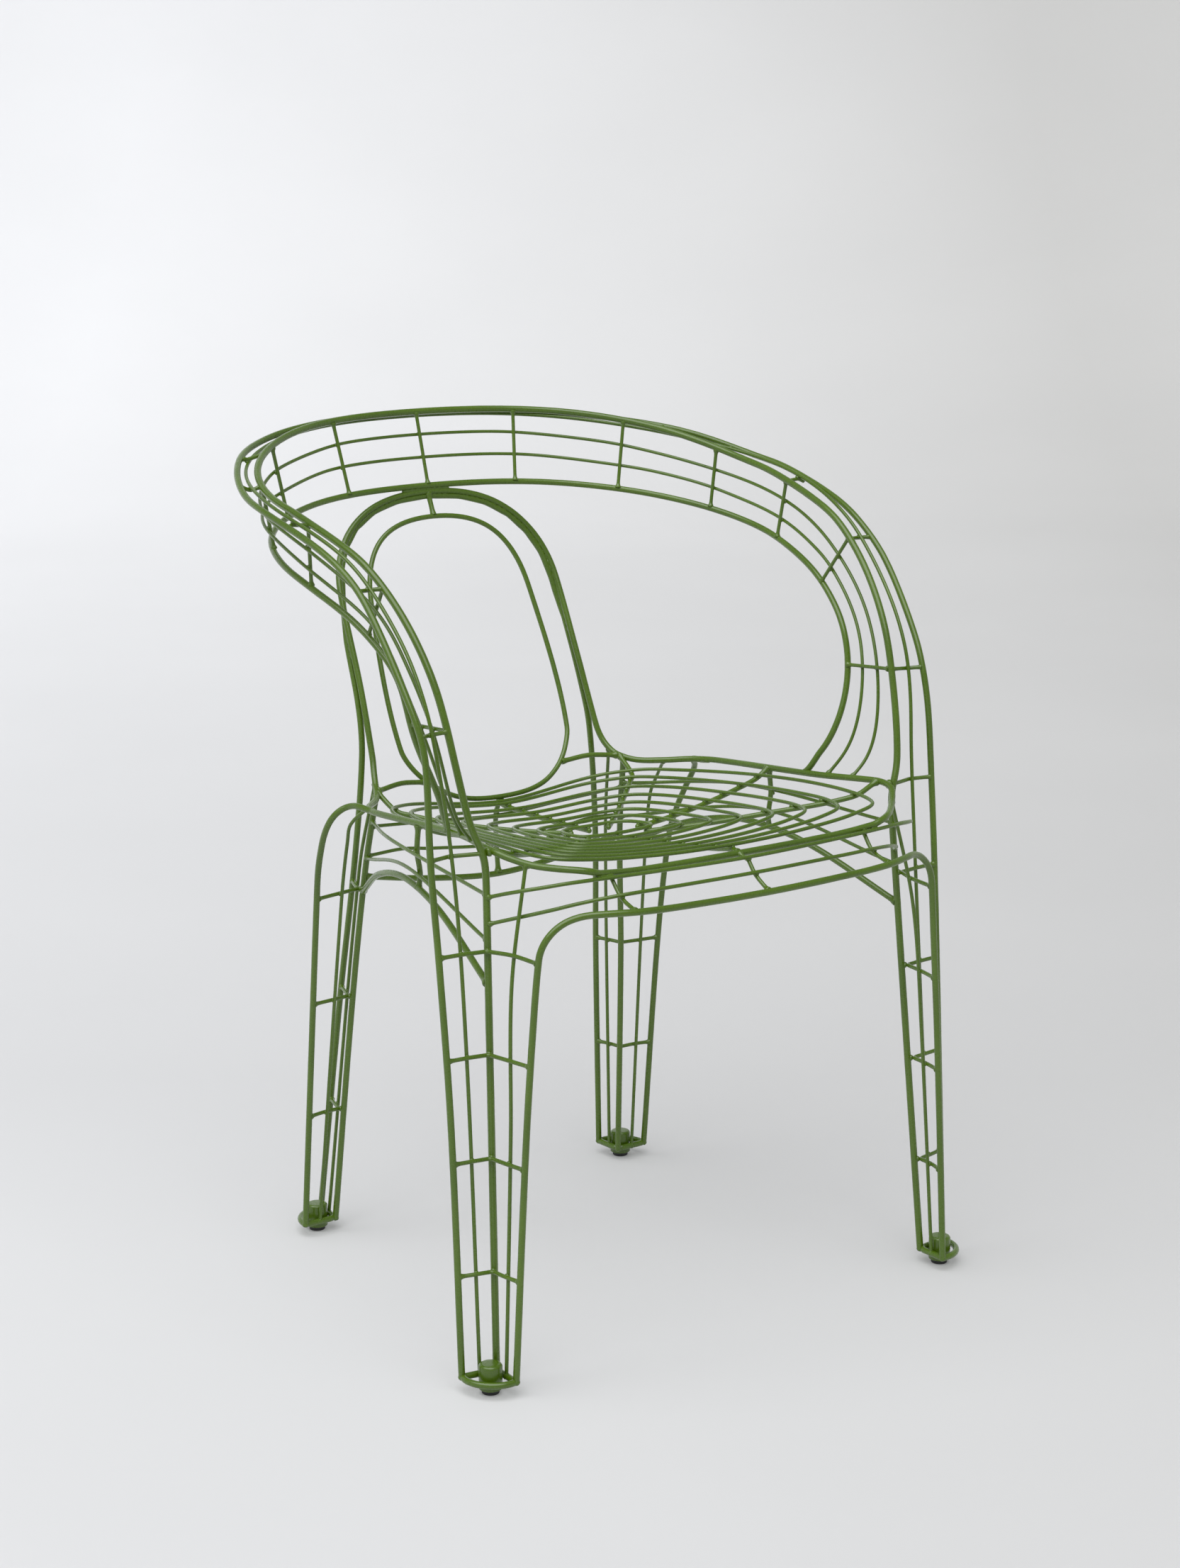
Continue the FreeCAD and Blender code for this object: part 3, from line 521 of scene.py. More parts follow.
def set_against(tie, others):
    """Bring a tie's inner bends against the wires that they pass."""
    for i in range(1, len(tie.points) - 1):
        spot = tie.points[i]
        other = min(others, key=lambda wire: distance(wire, spot) - wire.radius)
        on = nearest_on(other, spot)
        tie.points[i] = on + unit(spot - on) * (other.radius + tie.radius + SEATED)


def between(t, step, moves, slopes):
    """A smooth change from the first of two moves to the second, with a slope at either end."""
    s = 1 - t
    blend = moves[0] * (1 + 2 * t) * s ** 2 + moves[1] * t * t * (3 - 2 * t)
    return blend + (slopes[0] * t * s ** 2 - slopes[1] * t * t * s) * step


def out_of_band(tie, middle):
    """The way out of the arm band at a tie, square to the tie."""
    top, low = tie.points[0], tie.points[-1]
    run = unit(low - top)
    away = (top + low) / 2 - middle
    away[2] = 0
    return unit(away - run * (away @ run))


def carried_by_ties(wire, ties, shares, middle):
    """Bring one of the band's thin wires onto the straight ties, just outside them. The ties come in
    order from the middle of the back, and a share is for a pair of them."""
    at = [0.0]
    moves = [np.zeros(3)]
    a, b = chords(wire)
    lengths = np.linalg.norm(b - a, axis=1)
    along = lengths_along(wire.points)
    for place, tie in enumerate(ties):
        top, low = tie.points[0], tie.points[-1]
        outward = out_of_band(tie, middle) * (wire.radius + tie.radius + SEATED)
        target = top + (low - top) * shares[(place + 1) // 2] + outward
        on = nearest_on(wire, target)
        detour = np.linalg.norm(a - on, axis=1) + np.linalg.norm(b - on, axis=1) - lengths
        i = int(detour.argmin())
        at.append(along[i] + np.linalg.norm(on - a[i]))
        moves.append(target - on)
    at.append(along[-1])
    moves.append(np.zeros(3))
    order = np.argsort(at)
    at, moves = np.array(at)[order], np.array(moves)[order]
    slopes = np.gradient(moves, at, axis=0)
    for k, s in enumerate(along):
        i = min(int(np.searchsorted(at, s, side="right")) - 1, len(at) - 2)
        step = at[i + 1] - at[i]
        move = between((s - at[i]) / step, step, moves[i:i + 2], slopes[i:i + 2])
        wire.points[k] = wire.points[k] + move


def straighten_band():
    """Straight ties between the top rim and the lower rim, with the band's thin wires behind them."""
    ties = wires_in("arm_band_ties")
    top_rim, lower_rim = wire_in("top_rim"), wire_in("lower_rim")
    for tie in ties:
        if distance(top_rim, tie.points[-1]) < distance(top_rim, tie.points[0]):
            tie.points = tie.points[::-1]
    ties.sort(key=lambda tie: -tie.points[0][1])
    middle = lower_rim.points.mean(0)
    carried_by_ties(wire_in("band_wire_upper"), ties, UPPER_SHARES, middle)
    carried_by_ties(wire_in("band_wire_lower"), ties, LOWER_SHARES, middle)
    for tie in ties:
        tie.points = tie.points[[0, -1]]
    for tie in ties[-2:]:
        low = tie.points[-1]
        lower = low - np.array([0, 0, LAST_TIE_DROP])
        tie.points[-1] = low + nearest_on(lower_rim, lower) - nearest_on(lower_rim, low)


def lower_ends(tie, rims):
    """Bring the ends of a tie between two rims a little down round the rims that they meet."""
    middle = (tie.points[0] + tie.points[-1]) / 2
    for end in (0, -1):
        spot = tie.points[end]
        rim = min(rims, key=lambda rim: distance(rim, spot))
        on = nearest_on(rim, spot)
        side = unit(unit(middle - on) - np.array([0, 0, TIE_END_SLOPE]))
        tie.points[end] = on + side * np.linalg.norm(spot - on)


def correct_rim_ties():
    """Lead the ties across the rims below the middle rim, except the rearmost ones."""
    thin = wire_in("middle_rim")
    rims = (wire_in("outer_rim"), wire_in("top_rim"))
    for tie in wires_in("rim_ties"):
        middle = tie.points.mean(0)
        if middle[1] > REAR_TIES:
            continue
        if middle[2] > LEVEL_RIMS:
            lower_ends(tie, rims)
        for i in range(1, len(tie.points) - 1):
            on = nearest_on(thin, tie.points[i])
            tie.points[i] = on + unit(on - tie.points[i]) * (thin.radius + tie.radius + SEATED)


def correct_leg_ties(side):
    """Set the ties of the legs on one side against the legs' wires."""
    front = [wire_in(name) for name in ("middle_rim", "top_rim", "front_leg_thin_wire" + side)]
    for tie in wires_in("front_leg_ties" + side):
        set_against(tie, front)
    rear = [wire_in("rear_leg_" + name + side) for name in ("side_wire", "corner", "back_wire")]
    for tie in wires_in("rear_leg_ties" + side):
        set_against(tie, rear)


def lower_edge(edge, rail):
    """Bring the upper stretch of a rear leg's side edge down, below the seat frame."""
    for spot in edge.points:
        on = nearest_on(rail, spot)
        spot[2] -= EDGE_DROP * min(1.0, max(0.0, (spot[2] - EDGE_DROP_FROM) / EDGE_DROP_OVER))
        if np.linalg.norm(on - spot) < EDGE_NEAR_RAIL:
            spot[2] = min(spot[2], on[2] - EDGE_BELOW_RAIL)


def climb(wire, rail):
    """Lead a wire's upper end on along the rail that it lies against, up to the middle of the arch and
    round to the rail's inner rear side."""
    if wire.points[0][2] > wire.points[-1][2]:
        wire.points = wire.points[::-1]
    last = wire.points[-1]
    on = nearest_on(rail, last)
    apart = np.linalg.norm(last - on)
    first_side = (last - on) / apart
    half = math.copysign(1.0, on[0])  # 1 on the chair's left, -1 on its right
    way = unit(last - wire.points[-2])
    behind = unit(np.array([0.0, way[2], -way[1]]))
    extra = []
    for k in range(1, MOST_CLIMB_STEPS):
        step = nearest_on(rail, on + way * CLIMB_STEP)
        way = unit(step - on)
        on = step
        inward = unit(np.cross(way, behind)) * half
        share = min(1.0, k * CLIMB_STEP / TURN_TO_INSIDE)
        side = first_side * (1 - share) + (behind * CLIMB_BEHIND + inward * CLIMB_INSIDE) * share
        side = unit(side - way * (side @ way))
        extra.append(on + side * apart * (1 - CLIMB_CLOSER * share))
        if on[0] * half < ARCH_MIDDLE:
            break
    wire.points = np.concatenate([wire.points, extra])


def end_on(wire, end, other, spot):
    """Lead a wire's end to the point of another that is nearest to a spot."""
    on = nearest_on(other, spot)
    wire.points[end] = on + unit(inner_corner(wire, end) - on) * (other.radius + wire.radius / 2)


def correct_spokes(rail):
    """Lead the seat's corner spokes to where they end on the seat frame in the photograph."""
    for spoke in [wire for wire in all_wires if "spoke" in wire.node]:
        for (was, now), mirror, end in product(SPOKE_ENDS, (-1, 1), (0, -1)):
            flip = np.array([mirror, 1, 1])
            if np.linalg.norm(spoke.points[end] - np.array(was) * flip) < SAME_END:
                end_on(spoke, end, rail, np.array(now) * flip)


def correct_side_links(rail):
    """Bow the side links of the back loop and lead them to where they meet the seat frame."""
    for link in wires_in("back_links"):
        outer = 0 if abs(link.points[0][0]) > abs(link.points[-1][0]) else -1
        spot = link.points[outer]
        if abs(spot[0]) > SIDE_LINK_FROM:
            bow = link.points.mean(0) + np.array([0, 0, LINK_BOW])
            shift = np.array(LINK_SHIFT) * np.array([math.copysign(1, spot[0]), 1, 1])
            end_on(link, outer, rail, spot + shift)
            link.points = np.array([link.points[0], bow, link.points[-1]])


def correct_wires():
    """Everything that the photograph shows differently from the CAD wires, by a few millimetres."""
    rail = wire_in("seat_frame")
    straighten_band()
    correct_rim_ties()
    for side in ("_left", "_right"):
        correct_leg_ties(side)
        edge = wire_in("rear_leg_side_edge" + side)
        if side == "_left":
            lower_edge(edge, rail)
        edge.sinks[0 if edge.points[0][2] > edge.points[-1][2] else -1] = rail
        climb(wire_in("rear_leg_back_edge" + side), rail)
    correct_spokes(rail)
    correct_side_links(rail)


# Welds: where two wires come within reach of each other

def contacts(one, two):
    """Where two wires are welded: the points on both lines and both directions."""
    reach = one.radius + two.radius + WELD_REACH
    if (one.points.min(0) - reach > two.points.max(0)).any():
        return []
    if (two.points.min(0) - reach > one.points.max(0)).any():
        return []
    p1, q1 = chords(one)
    p2, q2 = chords(two)
    on_one, on_two = closest(p1[:, None], q1[:, None], p2[None], q2[None])
    gap = np.linalg.norm(on_one - on_two, axis=-1)
    found = []
    for flat in np.argsort(gap, axis=None):
        i, j = np.unravel_index(flat, gap.shape)
        if gap[i, j] > reach:
            break
        a, b = unit(q1[i] - p1[i]), unit(q2[j] - p2[j])
        apart = WELDS_APART if abs(a @ b) < SIDE_BY_SIDE else LONG_WELDS_APART
        if all(np.linalg.norm(on_one[i, j] - spot[0]) > apart for spot in found):
            found.append((on_one[i, j], on_two[i, j], a, b))
    return found


def end_at(wire, spot):
    """The end of an open wire that is at a point, or None."""
    if wire.closed:
        return None
    for end in (0, -1):
        if np.linalg.norm(wire.points[end] - spot) < END_REACH * wire.radius:
            return end
    return None


def welded_end(one, two, contact):
    """Runs a wire's end into the other wire that it meets there. False if that needs more weld."""
    on_one, on_two, a, b = contact
    for wire, other, spot, far, along in ((one, two, on_one, on_two, b), (two, one, on_two, on_one, a)):
        end = end_at(wire, spot)
        if end is None or end in wire.ends:
            continue
        if end in wire.sinks:
            return True
        outward = unit(wire.points[end] - inner_corner(wire, end))
        sine = math.sqrt(max(0.0, 1 - float(outward @ along) ** 2))
        if sine < GRAZING:
            wire.sinks[end] = other
            return True
        if (far - spot) @ outward > 0:
            gap = np.linalg.norm(far - spot)
            if "ring" in other.node:
                wire.ends[end] = (gap, 0.0)
                return False
            most = RIM_TIE_SWELL if wire.node == "rim_ties" else END_SWELL
            swell = min(most * sine, WIDEST_SWELL * other.radius / wire.radius - 1)
            run_in = (gap - other.radius / 2) / max(sine, LEAST_SINE)
            wire.ends[end] = (max(0.0, run_in), max(swell, 0.0))
            return True
    return False


# Each drop of weld is its middle, the way across both wires, the way that it lies, and how far it
# reaches that way, to the sides and across.

def crossing_weld(one, two, contact):
    """A drop of weld between two wires."""
    on_one, on_two, a, b = contact
    across = unit(on_two - on_one)
    lay = a + b if a @ b > 0 else a - b
    lay = unit(lay - across * (lay @ across))
    share = one.radius / (one.radius + two.radius)
    thin = min(one.radius, two.radius)
    drawn_out = abs(float(a @ b)) ** 3
    length = thin * (DROP_LENGTH + DROP_DRAWN_OUT * drawn_out)
    width = thin * (DROP_WIDTH - DROP_NARROWED * drawn_out)
    thickness = DROP_THICKNESS * np.linalg.norm(on_two - on_one)
    return on_one + (on_two - on_one) * share, across, lay, (length, width, thickness)


def knuckle(spot, ring, along):
    """The rounded corner where a leg wire goes over into its foot ring."""
    across = np.array([0.0, 0.0, 1.0])
    width = KNUCKLE_WIDTH * ring.radius
    return spot, across, unit(along - across * along[2]), (width, width, KNUCKLE_THICKNESS * ring.radius)


def weld_along(one, two, at):
    """Weld that fills the groove between two wires that run side by side."""
    line, other = smooth_line(one), smooth_line(two)
    width = GROOVE_WIDTH * min(one.radius, two.radius)
    found = []
    for i, spot in enumerate(line):
        if np.linalg.norm(spot - at) >= LONG_WELD:
            continue
        facing = other[np.linalg.norm(other - spot, axis=1).argmin()]
        gap = np.linalg.norm(facing - spot)
        if gap - one.radius - two.radius < GROOVE_GAP:
            run = unit(line[(i + 1) % len(line)] - line[i - 1])
            across = unit(facing - spot)
            lay = unit(run - across * (run @ across))
            found.append(((spot + facing) / 2, across, lay, (GROOVE_DROP, width, GROOVE_THICKNESS * gap)))
    return found


def welds_between(one, two):
    """All the weld where two wires meet."""
    found = []
    for contact in contacts(one, two):
        if welded_end(one, two, contact):
            continue
        on_one, on_two, a, b = contact
        ring, spot, way = (one, on_one, a) if "ring" in one.node else (two, on_two, b)
        if "ring" in ring.node and (one.ends or two.ends):
            found.append(knuckle(spot, ring, way))
            continue
        side_by_side = abs(float(a @ b)) > SIDE_BY_SIDE
        if side_by_side and "rim" in one.node and "rim" in two.node:
            continue
        if side_by_side and "seat_frame" in (one.node, two.node):
            found += weld_along(one, two, on_one)
        else:
            found.append(crossing_weld(one, two, contact))
    return found


# Meshes. A shape is a list of points and a list of faces.

def joined(shapes):
    """Several shapes as one."""
    points, faces = [], []
    for more_points, more_faces in shapes:
        first = len(points)
        points += more_points
        faces += [tuple(first + corner for corner in face) for face in more_faces]
    return points, faces


def smooth_mesh(name, shape, material):
    """A smooth shaded object."""
    points, faces = shape
    mesh = bpy.data.meshes.new(name)
    mesh.from_pydata([tuple(map(float, p)) for p in points], [], faces)
    mesh.polygons.foreach_set("use_smooth", [True] * len(mesh.polygons))
    mesh.update()
    mesh.materials.append(material)
    made = bpy.data.objects.new(name, mesh)
    bpy.context.scene.collection.objects.link(made)
    return made


def new_piece(name, shape, material, replaced=()):
    """A piece that rides on the chair, in the place of CAD nodes or in addition to them."""
    piece = smooth_mesh(name, shape, material)
    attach(piece, BODY)
    if replaced:
        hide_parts(*replaced)


def turned_frames(line, closed):
    """Two directions square to the line at each of its points, which don't twist along it."""
    count = len(line)
    if closed:
        tangents = np.roll(line, -1, axis=0) - np.roll(line, 1, axis=0)
    else:
        tangents = np.gradient(line, axis=0)
    tangents /= np.linalg.norm(tangents, axis=1)[:, None]
    level = abs(tangents[0][2]) < STEEP
    start = np.array([0.0, 0.0, 1.0]) if level else np.array([1.0, 0.0, 0.0])
    side = unit(start - tangents[0] * (start @ tangents[0]))
    sides = [side]
    for i in range(1, count):
        side = unit(side - tangents[i] * (side @ tangents[i]))
        sides.append(side)
    sides = np.array(sides)
    others = np.cross(tangents, sides)
    if closed:
        last = unit(sides[-1] - tangents[0] * (sides[-1] @ tangents[0]))
        twist = math.atan2(float(last @ others[0]), float(last @ sides[0]))
        turn = -twist * np.arange(count) / count
        cosine, sine = np.cos(turn)[:, None], np.sin(turn)[:, None]
        sides, others = sides * cosine + others * sine, others * cosine - sides * sine
    return sides, others


def sunk(wire, line):
    """The line with those ends that run out along another wire sunk into it, as ground welds do."""
    line = line.copy()
    for end, other in wire.sinks.items():
        at = lengths_along(line)
        depth = at if end == 0 else at[-1] - at
        for i in np.nonzero(depth < SINK_LENGTH)[0]:
            share = 1 - depth[i] / SINK_LENGTH
            share = SINK_DEPTH * share * share * (3 - 2 * share)
            line[i] = line[i] + (nearest_on(other, line[i]) - line[i]) * share
    return line


def section_marks(at, radius):
    """Where along a line a wire's sections are: at its points, and close together at both ends."""
    total = at[-1]
    close = radius * np.array(END_SECTIONS)
    close = close[close < total / 2]
    marks = np.unique(np.round(np.concatenate([at, close, total - close]), 6))
    kept = [marks[0]]
    for mark in marks[1:]:
        if mark - kept[-1] > LEAST_SECTION * radius:
            kept.append(mark)
    kept[-1] = total
    return np.array(kept)


def with_ends(wire, line):
    """The line with its welded ends run into what they are welded to, and each section's radius: it
    flares at a weld and is rounded at a free end."""
    radius = wire.radius
    if wire.closed:
        return line, np.full(len(line), radius)
    out_start = wire.ends.get(0, (0.0, 0.0))[0]
    out_end = wire.ends.get(-1, (0.0, 0.0))[0]
    line = np.concatenate([
        [line[0] + unit(line[0] - line[1]) * max(out_start, NO_LENGTH)],
        line,
        [line[-1] + unit(line[-1] - line[-2]) * max(out_end, NO_LENGTH)],
    ])
    at = lengths_along(line)
    marks = section_marks(at, radius)
    line = points_at(line, at, marks)
    radii = np.full(len(marks), radius)
    for end, depth in ((0, marks), (-1, at[-1] - marks)):
        if end in wire.ends:
            run_in, swell = wire.ends[end]
            past = np.maximum(depth - run_in * SWELL_START, 0)
            radii = radii * (1 + swell * np.exp(-((past / (SWELL_REACH * radius)) ** SWELL_POWER)))
        else:
            rounding = np.clip(1 - depth / (TIP_ROUNDING * radius), 0, TIP_LEFT)
            radii = radii * np.sqrt(1 - rounding ** 2)
    return line, radii


def lump(spot):
    """How much thicker the coating is at a point, as a share of a wire's radius."""
    near = Vector(spot)
    return sum(height * noise.noise(near * fineness) for height, fineness in COAT_LUMPS)


def tube(wire):
    """The shape of one round wire."""
    line, radii = with_ends(wire, sunk(wire, smooth_line(wire)))
    sides, others = turned_frames(line, wire.closed)
    count = THICK_SIDES if wire.radius > THICK_WIRE else THIN_SIDES
    turns = np.arange(count) * (2 * math.pi / count)
    points = []
    for spot, side, other, radius in zip(line, sides, others, radii):
        for turn in turns:
            out = side * math.cos(turn) + other * math.sin(turn)
            at = spot + out * radius
            points.append(at + out * (radius * lump(at)))
    faces = []
    rows = len(line)
    for i in range(rows if wire.closed else rows - 1):
        a, b = i * count, (i + 1) % rows * count
        for k in range(count):
            n = (k + 1) % count
            faces.append((a + k, a + n, b + n, b + k))
    if not wire.closed:
        faces.append(tuple(reversed(range(count))))
        faces.append(tuple(range((rows - 1) * count, rows * count)))
    return points, faces


def pole_faces(rows, count):
    """The faces of a shape that has a point below, rows of points round it, and a point above."""
    faces = []
    last = 1 + (rows - 1) * count
    for k in range(count):
        n = (k + 1) % count
        faces.append((0, 1 + n, 1 + k))
        for a in range(1, last, count):
            b = a + count
            faces.append((a + k, a + n, b + n, b + k))
        faces.append((last + k, last + n, last + count))
    return faces


def bead(weld):
    """The shape of a drop of weld."""
    spot, across, lay, (length, width, thickness) = weld
    other = np.cross(across, lay)
    height, fineness = DROP_LUMPS
    points = [spot - across * thickness]
    for i in range(1, DROP_ROWS + 1):
        tilt = math.pi * i / (DROP_ROWS + 1)
        for k in range(DROP_SIDES):
            turn = 2 * math.pi * k / DROP_SIDES
            out = lay * (math.cos(turn) * length) + other * (math.sin(turn) * width)
            at = spot + out * math.sin(tilt) - across * (math.cos(tilt) * thickness)
            points.append(at + (at - spot) * (height * noise.noise(Vector(at) * fineness)))
    points.append(spot + across * thickness)
    return points, pole_faces(DROP_ROWS, DROP_SIDES)


def lathe(profile, at):
    """The shape of a round piece. The profile runs from the middle below to the middle above."""
    points = [np.array([at[0], at[1], profile[0][1]])]
    for radius, height in profile[1:-1]:
        for k in range(ROUND_SIDES):
            turn = 2 * math.pi * k / ROUND_SIDES
            x = at[0] + radius * math.cos(turn)
            y = at[1] + radius * math.sin(turn)
            points.append(np.array([x, y, height]))
    points.append(np.array([at[0], at[1], profile[-1][1]]))
    return points, pole_faces(len(profile) - 2, ROUND_SIDES)


def rounded(radius, bottom, top, rounds):
    """The profile of a round piece with rounded edges."""
    below, above = rounds
    turns = [math.pi / 2 * i / ROUNDING_STEPS for i in range(ROUNDING_STEPS + 1)]
    profile = [(0.0, bottom), (radius * FLAT_BELOW, bottom)]
    for turn in turns:
        profile.append((radius - below + below * math.sin(turn), bottom + below - below * math.cos(turn)))
    for turn in turns:
        profile.append((radius - above + above * math.cos(turn), top - above + above * math.sin(turn)))
    return profile + [(radius * FLAT_ABOVE, top), (0.0, top)]


# Materials

def new_material(name):
    """A node material and its shader."""
    material = bpy.data.materials.new(name)
    material.use_nodes = True
    return material, material.node_tree, material.node_tree.nodes["Principled BSDF"]


def noise_node(tree, scale, detail, rough=0.5):
    """A noise texture in object space."""
    place = tree.nodes.new("ShaderNodeTexCoord")
    texture = tree.nodes.new("ShaderNodeTexNoise")
    texture.inputs["Scale"].default_value = scale
    texture.inputs["Detail"].default_value = detail
    texture.inputs["Roughness"].default_value = rough
    tree.links.new(place.outputs["Object"], texture.inputs["Vector"])
    return texture.outputs["Fac"]


def ramp(tree, source, stops):
    """A colour ramp over a value."""
    node = tree.nodes.new("ShaderNodeValToRGB")
    for i, (at, colour) in enumerate(stops):
        stop = node.color_ramp.elements[i] if i < 2 else node.color_ramp.elements.new(at)
        stop.position = at
        stop.color = (*colour, 1)
    tree.links.new(source, node.inputs["Fac"])
    return node.outputs["Color"]


def spread(tree, source, low, high, source_range=(0.3, 0.7)):
    """A value brought from its own range to another. The range given is the one that noise fills."""
    node = tree.nodes.new("ShaderNodeMapRange")
    node.inputs["From Min"].default_value = source_range[0]
    node.inputs["From Max"].default_value = source_range[1]
    node.inputs["To Min"].default_value = low
    node.inputs["To Max"].default_value = high
    tree.links.new(source, node.inputs["Value"])
    return node.outputs["Result"]


def multiplied(tree, one, two):
    """Two colours multiplied."""
    node = tree.nodes.new("ShaderNodeMix")
    node.data_type = "RGBA"
    node.blend_type = "MULTIPLY"
    node.inputs["Factor"].default_value = 1
    tree.links.new(one, node.inputs["A"])
    tree.links.new(two, node.inputs["B"])
    return node.outputs["Result"]


def bump(tree, height, strength, depth, under=None):
    """Bumps of one size, on top of others if there are any."""
    node = tree.nodes.new("ShaderNodeBump")
    node.inputs["Strength"].default_value = strength
    node.inputs["Distance"].default_value = depth
    tree.links.new(height, node.inputs["Height"])
    if under is not None:
        tree.links.new(under, node.inputs["Normal"])
    return node.outputs["Normal"]


def powder_coat():
    """Satin green powder coat: slightly uneven in colour and gloss, with a fine orange peel."""
    material, tree, shader = new_material("powder_coat_green")
    colour = ramp(tree, noise_node(tree, scale=14, detail=3), [(0.3, COAT_DARK), (0.7, COAT_LIGHT)])
    gloss = spread(tree, noise_node(tree, scale=260, detail=3), low=0.24, high=0.33)
    peel = bump(tree, noise_node(tree, scale=480, detail=2), strength=0.07, depth=0.2 * MM)
    pits = bump(tree, noise_node(tree, scale=2600, detail=1), strength=0.03, depth=0.06 * MM, under=peel)
    tree.links.new(colour, shader.inputs["Base Color"])
    tree.links.new(gloss, shader.inputs["Roughness"])
    tree.links.new(pits, shader.inputs["Normal"])
    shader.inputs["Specular IOR Level"].default_value = 0.5
    shader.inputs["Coat Weight"].default_value = 0.35
    shader.inputs["Coat Roughness"].default_value = 0.22
    return material


def glide_plastic():
    """Dark moulded plastic, dulled and scuffed where it meets the floor."""
    material, tree, shader = new_material("glide_plastic_dark")
    scuffs = noise_node(tree, scale=420, detail=5, rough=0.65)
    grain = bump(tree, noise_node(tree, scale=1500, detail=2), strength=0.25, depth=0.1 * MM)
    colour = ramp(tree, scuffs, [(0.35, GLIDE_DARK), (0.75, GLIDE_SCUFFED)])
    tree.links.new(colour, shader.inputs["Base Color"])
    tree.links.new(spread(tree, scuffs, low=0.5, high=0.75), shader.inputs["Roughness"])
    tree.links.new(grain, shader.inputs["Normal"])
    return material


def grey(tone):
    """A grey colour."""
    return tone, tone, tone


def paper_with_painted_light():
    """The pale seamless paper of the studio, with painted light in its colour: painted paler on the left,
    which the light comes from, painted shade towards the right, and painted paler in front. The change
    runs along the room, which is turned as the camera is."""
    material, tree, shader = new_material("studio_paper_painted_light")
    place = tree.nodes.new("ShaderNodeTexCoord")
    turned = tree.nodes.new("ShaderNodeMapping")
    turned.vector_type = "TEXTURE"
    turned.inputs["Rotation"].default_value = (0, 0, -math.radians(CAMERA_YAW))
    tree.links.new(place.outputs["Object"], turned.inputs["Vector"])
    split = tree.nodes.new("ShaderNodeSeparateXYZ")
    tree.links.new(turned.outputs["Vector"], split.inputs["Vector"])
    across = spread(tree, split.outputs["X"], 0, 1, PAPER_ACROSS)
    along = spread(tree, split.outputs["Y"], 0, 1, PAPER_ALONG)
    # Painted light and shade: the paper's colour goes from paler on the left to darker on the right
    painted_light_fade = ramp(tree, across, [(0.0, PAPER_PAINTED_LIT_LEFT), (1.0, PAPER_PAINTED_SHADE_RIGHT)])
    # Painted falloff of light along the room: the paper is painted paler in front and darker behind the
    # chair
    depth = ramp(tree, along, [(at, grey(tone)) for at, tone in PAPER_PAINTED_FALLOFF])
    patches = ramp(tree, noise_node(tree, scale=1.1, detail=3), [(0.3, grey(0.97)), (0.7, grey(1.0))])
    paper = multiplied(tree, multiplied(tree, painted_light_fade, patches), depth)
    tree.links.new(paper, shader.inputs["Base Color"])
    # Painted fill light: the paper glows a little in its painted-light colour, which weakens the shadows
    # cast on it
    tree.links.new(paper, shader.inputs["Emission Color"])
    shader.inputs["Emission Strength"].default_value = 0.34
    shader.inputs["Roughness"].default_value = 0.9
    shader.inputs["Specular IOR Level"].default_value = 0.2
    return material


# The studio

def studio_bowl():
    """A floor that curves up into a pale wall all round, far outside the views."""
    bend = WALL_AT - FLOOR_FLAT
    profile = [(FLOOR_FLAT * share, 0.0) for share in FLOOR_ROWS]
    for i in range(1, BOWL_STEPS + 1):
        turn = math.pi / 2 * i / BOWL_STEPS
        profile.append((FLOOR_FLAT + bend * math.sin(turn), bend * (1 - math.cos(turn))))
    profile.append((WALL_AT, WALL_TOP))
    points = [(0.0, 0.0, 0.0)]
    for radius, up in profile:
        for k in range(BOWL_SIDES):
            turn = 2 * math.pi * k / BOWL_SIDES
            points.append((radius * math.cos(turn), radius * math.sin(turn), up))
    faces = []
    for k in range(BOWL_SIDES):
        n = (k + 1) % BOWL_SIDES
        faces.append((0, 1 + k, 1 + n))
        for i in range(len(profile) - 1):
            a, b = 1 + i * BOWL_SIDES, 1 + (i + 1) * BOWL_SIDES
            faces.append((a + k, b + k, b + n, a + n))
    bowl = smooth_mesh("studio_floor", (points, faces), paper_with_painted_light())


def soft_sun(name, towards, power, spread_angle):
    """Broad even light that comes from one direction."""
    light = bpy.data.lights.new(name, "SUN")
    light.energy = power
    light.angle = math.radians(spread_angle)
    lamp = bpy.data.objects.new(name, light)
    lamp.rotation_euler = (-Vector(towards)).to_track_quat("-Z", "Y").to_euler()
    bpy.context.scene.collection.objects.link(lamp)


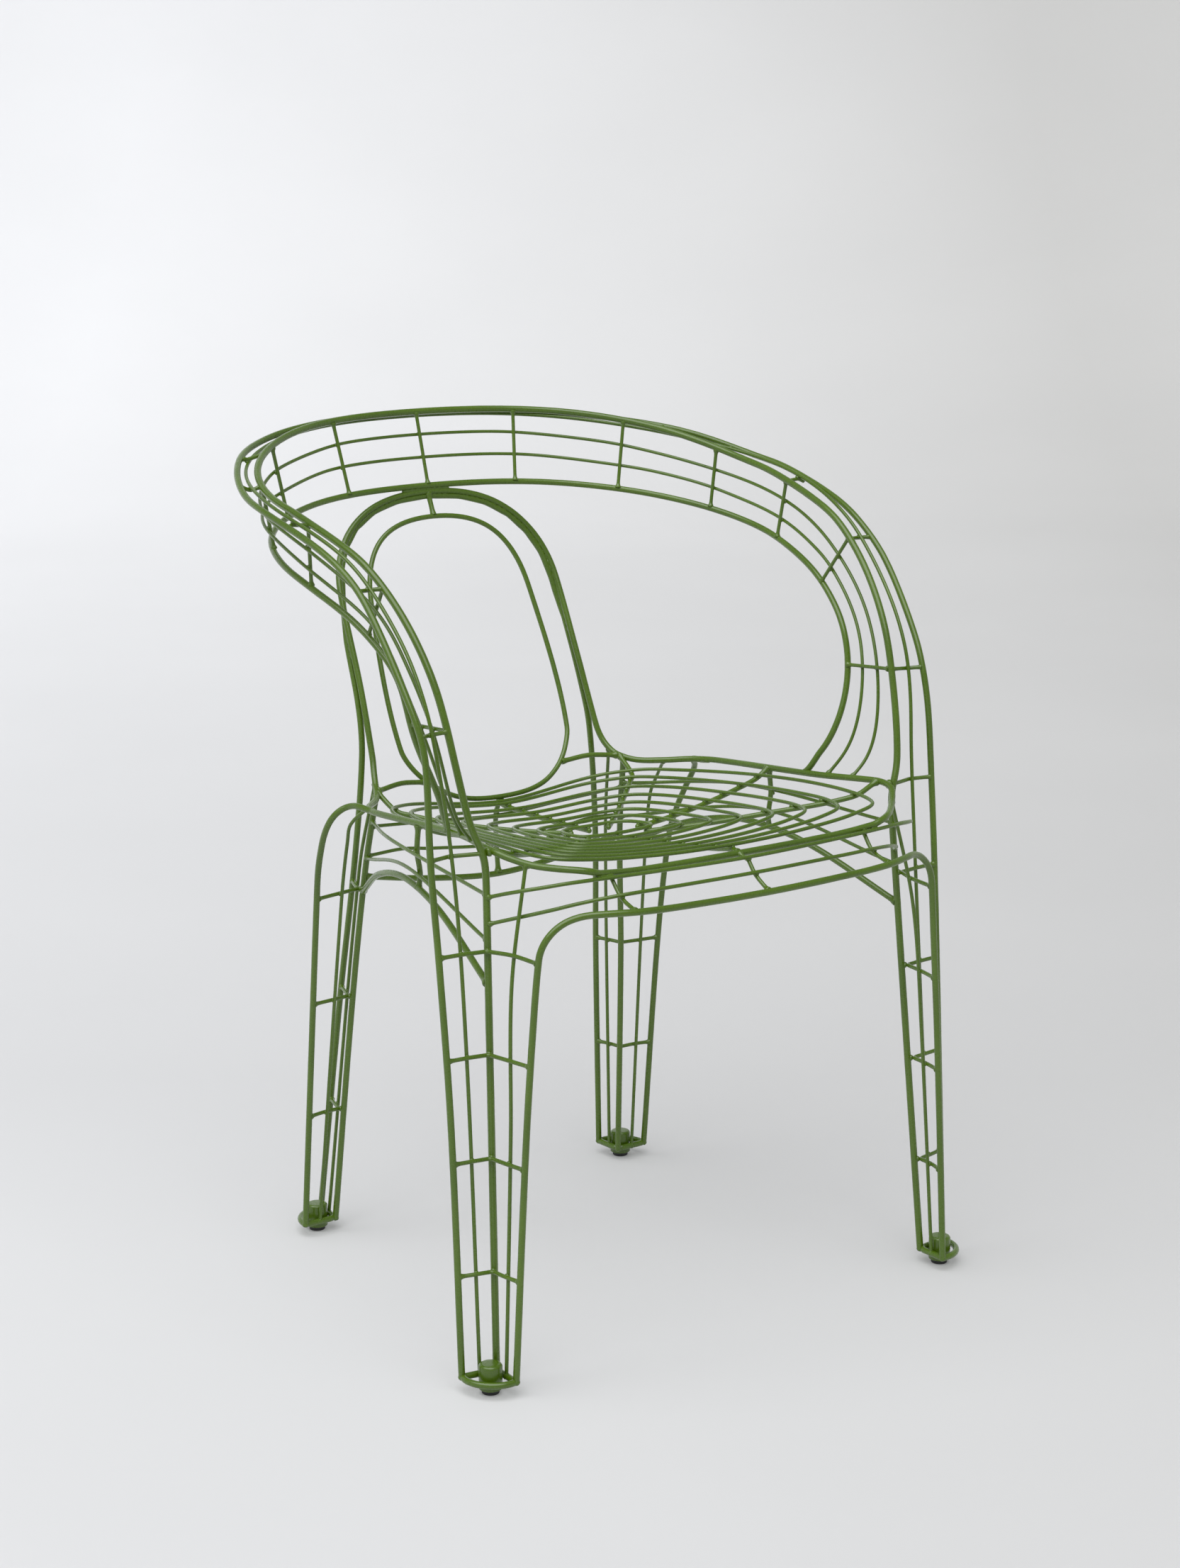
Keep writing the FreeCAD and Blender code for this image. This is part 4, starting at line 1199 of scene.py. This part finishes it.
def camera():
    """The camera of the photograph."""
    yaw, pitch, roll = (math.radians(a) for a in (CAMERA_YAW, CAMERA_PITCH, CAMERA_ROLL))
    ahead = Vector((math.sin(yaw) * math.cos(pitch), math.cos(yaw) * math.cos(pitch), -math.sin(pitch)))
    level = Vector((math.cos(yaw), -math.sin(yaw), 0))
    upright = level.cross(ahead)
    right = level * math.cos(roll) + upright * math.sin(roll)
    up = upright * math.cos(roll) - level * math.sin(roll)
    data = bpy.data.cameras.new("photo_camera")
    data.sensor_fit = "HORIZONTAL"
    data.sensor_width = SENSOR_WIDTH
    data.lens = FOCAL_PIXELS / PHOTO_WIDTH * data.sensor_width
    data.clip_end = FARTHEST_SEEN
    seat = bpy.data.objects.new("photo_camera", data)
    seat.matrix_world = Matrix((right, up, -ahead)).transposed().to_4x4()
    seat.location = CAMERA_AT
    bpy.context.scene.collection.objects.link(seat)
    bpy.context.scene.camera = seat


def air():
    """The even light of the room."""
    world = bpy.data.worlds.new("studio_air")
    world.use_nodes = True
    background = world.node_tree.nodes["Background"]
    background.inputs["Color"].default_value = STUDIO_AIR
    background.inputs["Strength"].default_value = 0.27
    bpy.context.scene.world = world
    bpy.context.scene.view_settings.view_transform = "Standard"


# The chair

COAT = powder_coat()
GLIDE = glide_plastic()
BOSSES = sorted(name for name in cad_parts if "foot_boss" in name)
WIRES = sorted(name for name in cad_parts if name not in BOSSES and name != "glides")

# The CAD nodes get the same finishes as the pieces that take their place
for name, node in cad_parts.items():
    finish = GLIDE if name == "glides" else COAT
    if not node.material_slots:
        node.data.materials.append(finish)
    for place in node.material_slots:
        place.link = "OBJECT"
        place.material = finish

all_wires = [wire for name in WIRES for wire in wires_of(name)]
correct_wires()
welds = []
for one, two in combinations(all_wires, 2):
    welds += welds_between(one, two)

for name in WIRES:
    shape = joined(tube(wire) for wire in wires_in(name))
    new_piece(name + "_coated", shape, COAT, [name])

new_piece("weld_beads", joined(bead(weld) for weld in welds), COAT)

for name in BOSSES:
    low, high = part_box(name)
    profile = rounded((high.x - low.x) / 2, low.z, high.z + BOSS_RISE, BOSS_ROUNDS)
    new_piece(name + "_coated", lathe(profile, (low + high) / 2), COAT, [name])

glides = []
for corners in solids_of("glides", lambda solid: np.array([spot.co for spot in solid])):
    low, high = corners.min(0), corners.max(0)
    profile = rounded((high[0] - low[0]) / 2, low[2], high[2], GLIDE_ROUNDS)
    glides.append(lathe(profile, (low + high) / 2))
new_piece("floor_glides", joined(glides), GLIDE, ["glides"])

studio_bowl()
soft_sun("key_light", towards=(-0.50, -0.28, 1.0), power=3.5, spread_angle=76)
soft_sun("fill_light", towards=(0.35, -0.75, 0.5), power=0.12, spread_angle=60)
camera()
air()
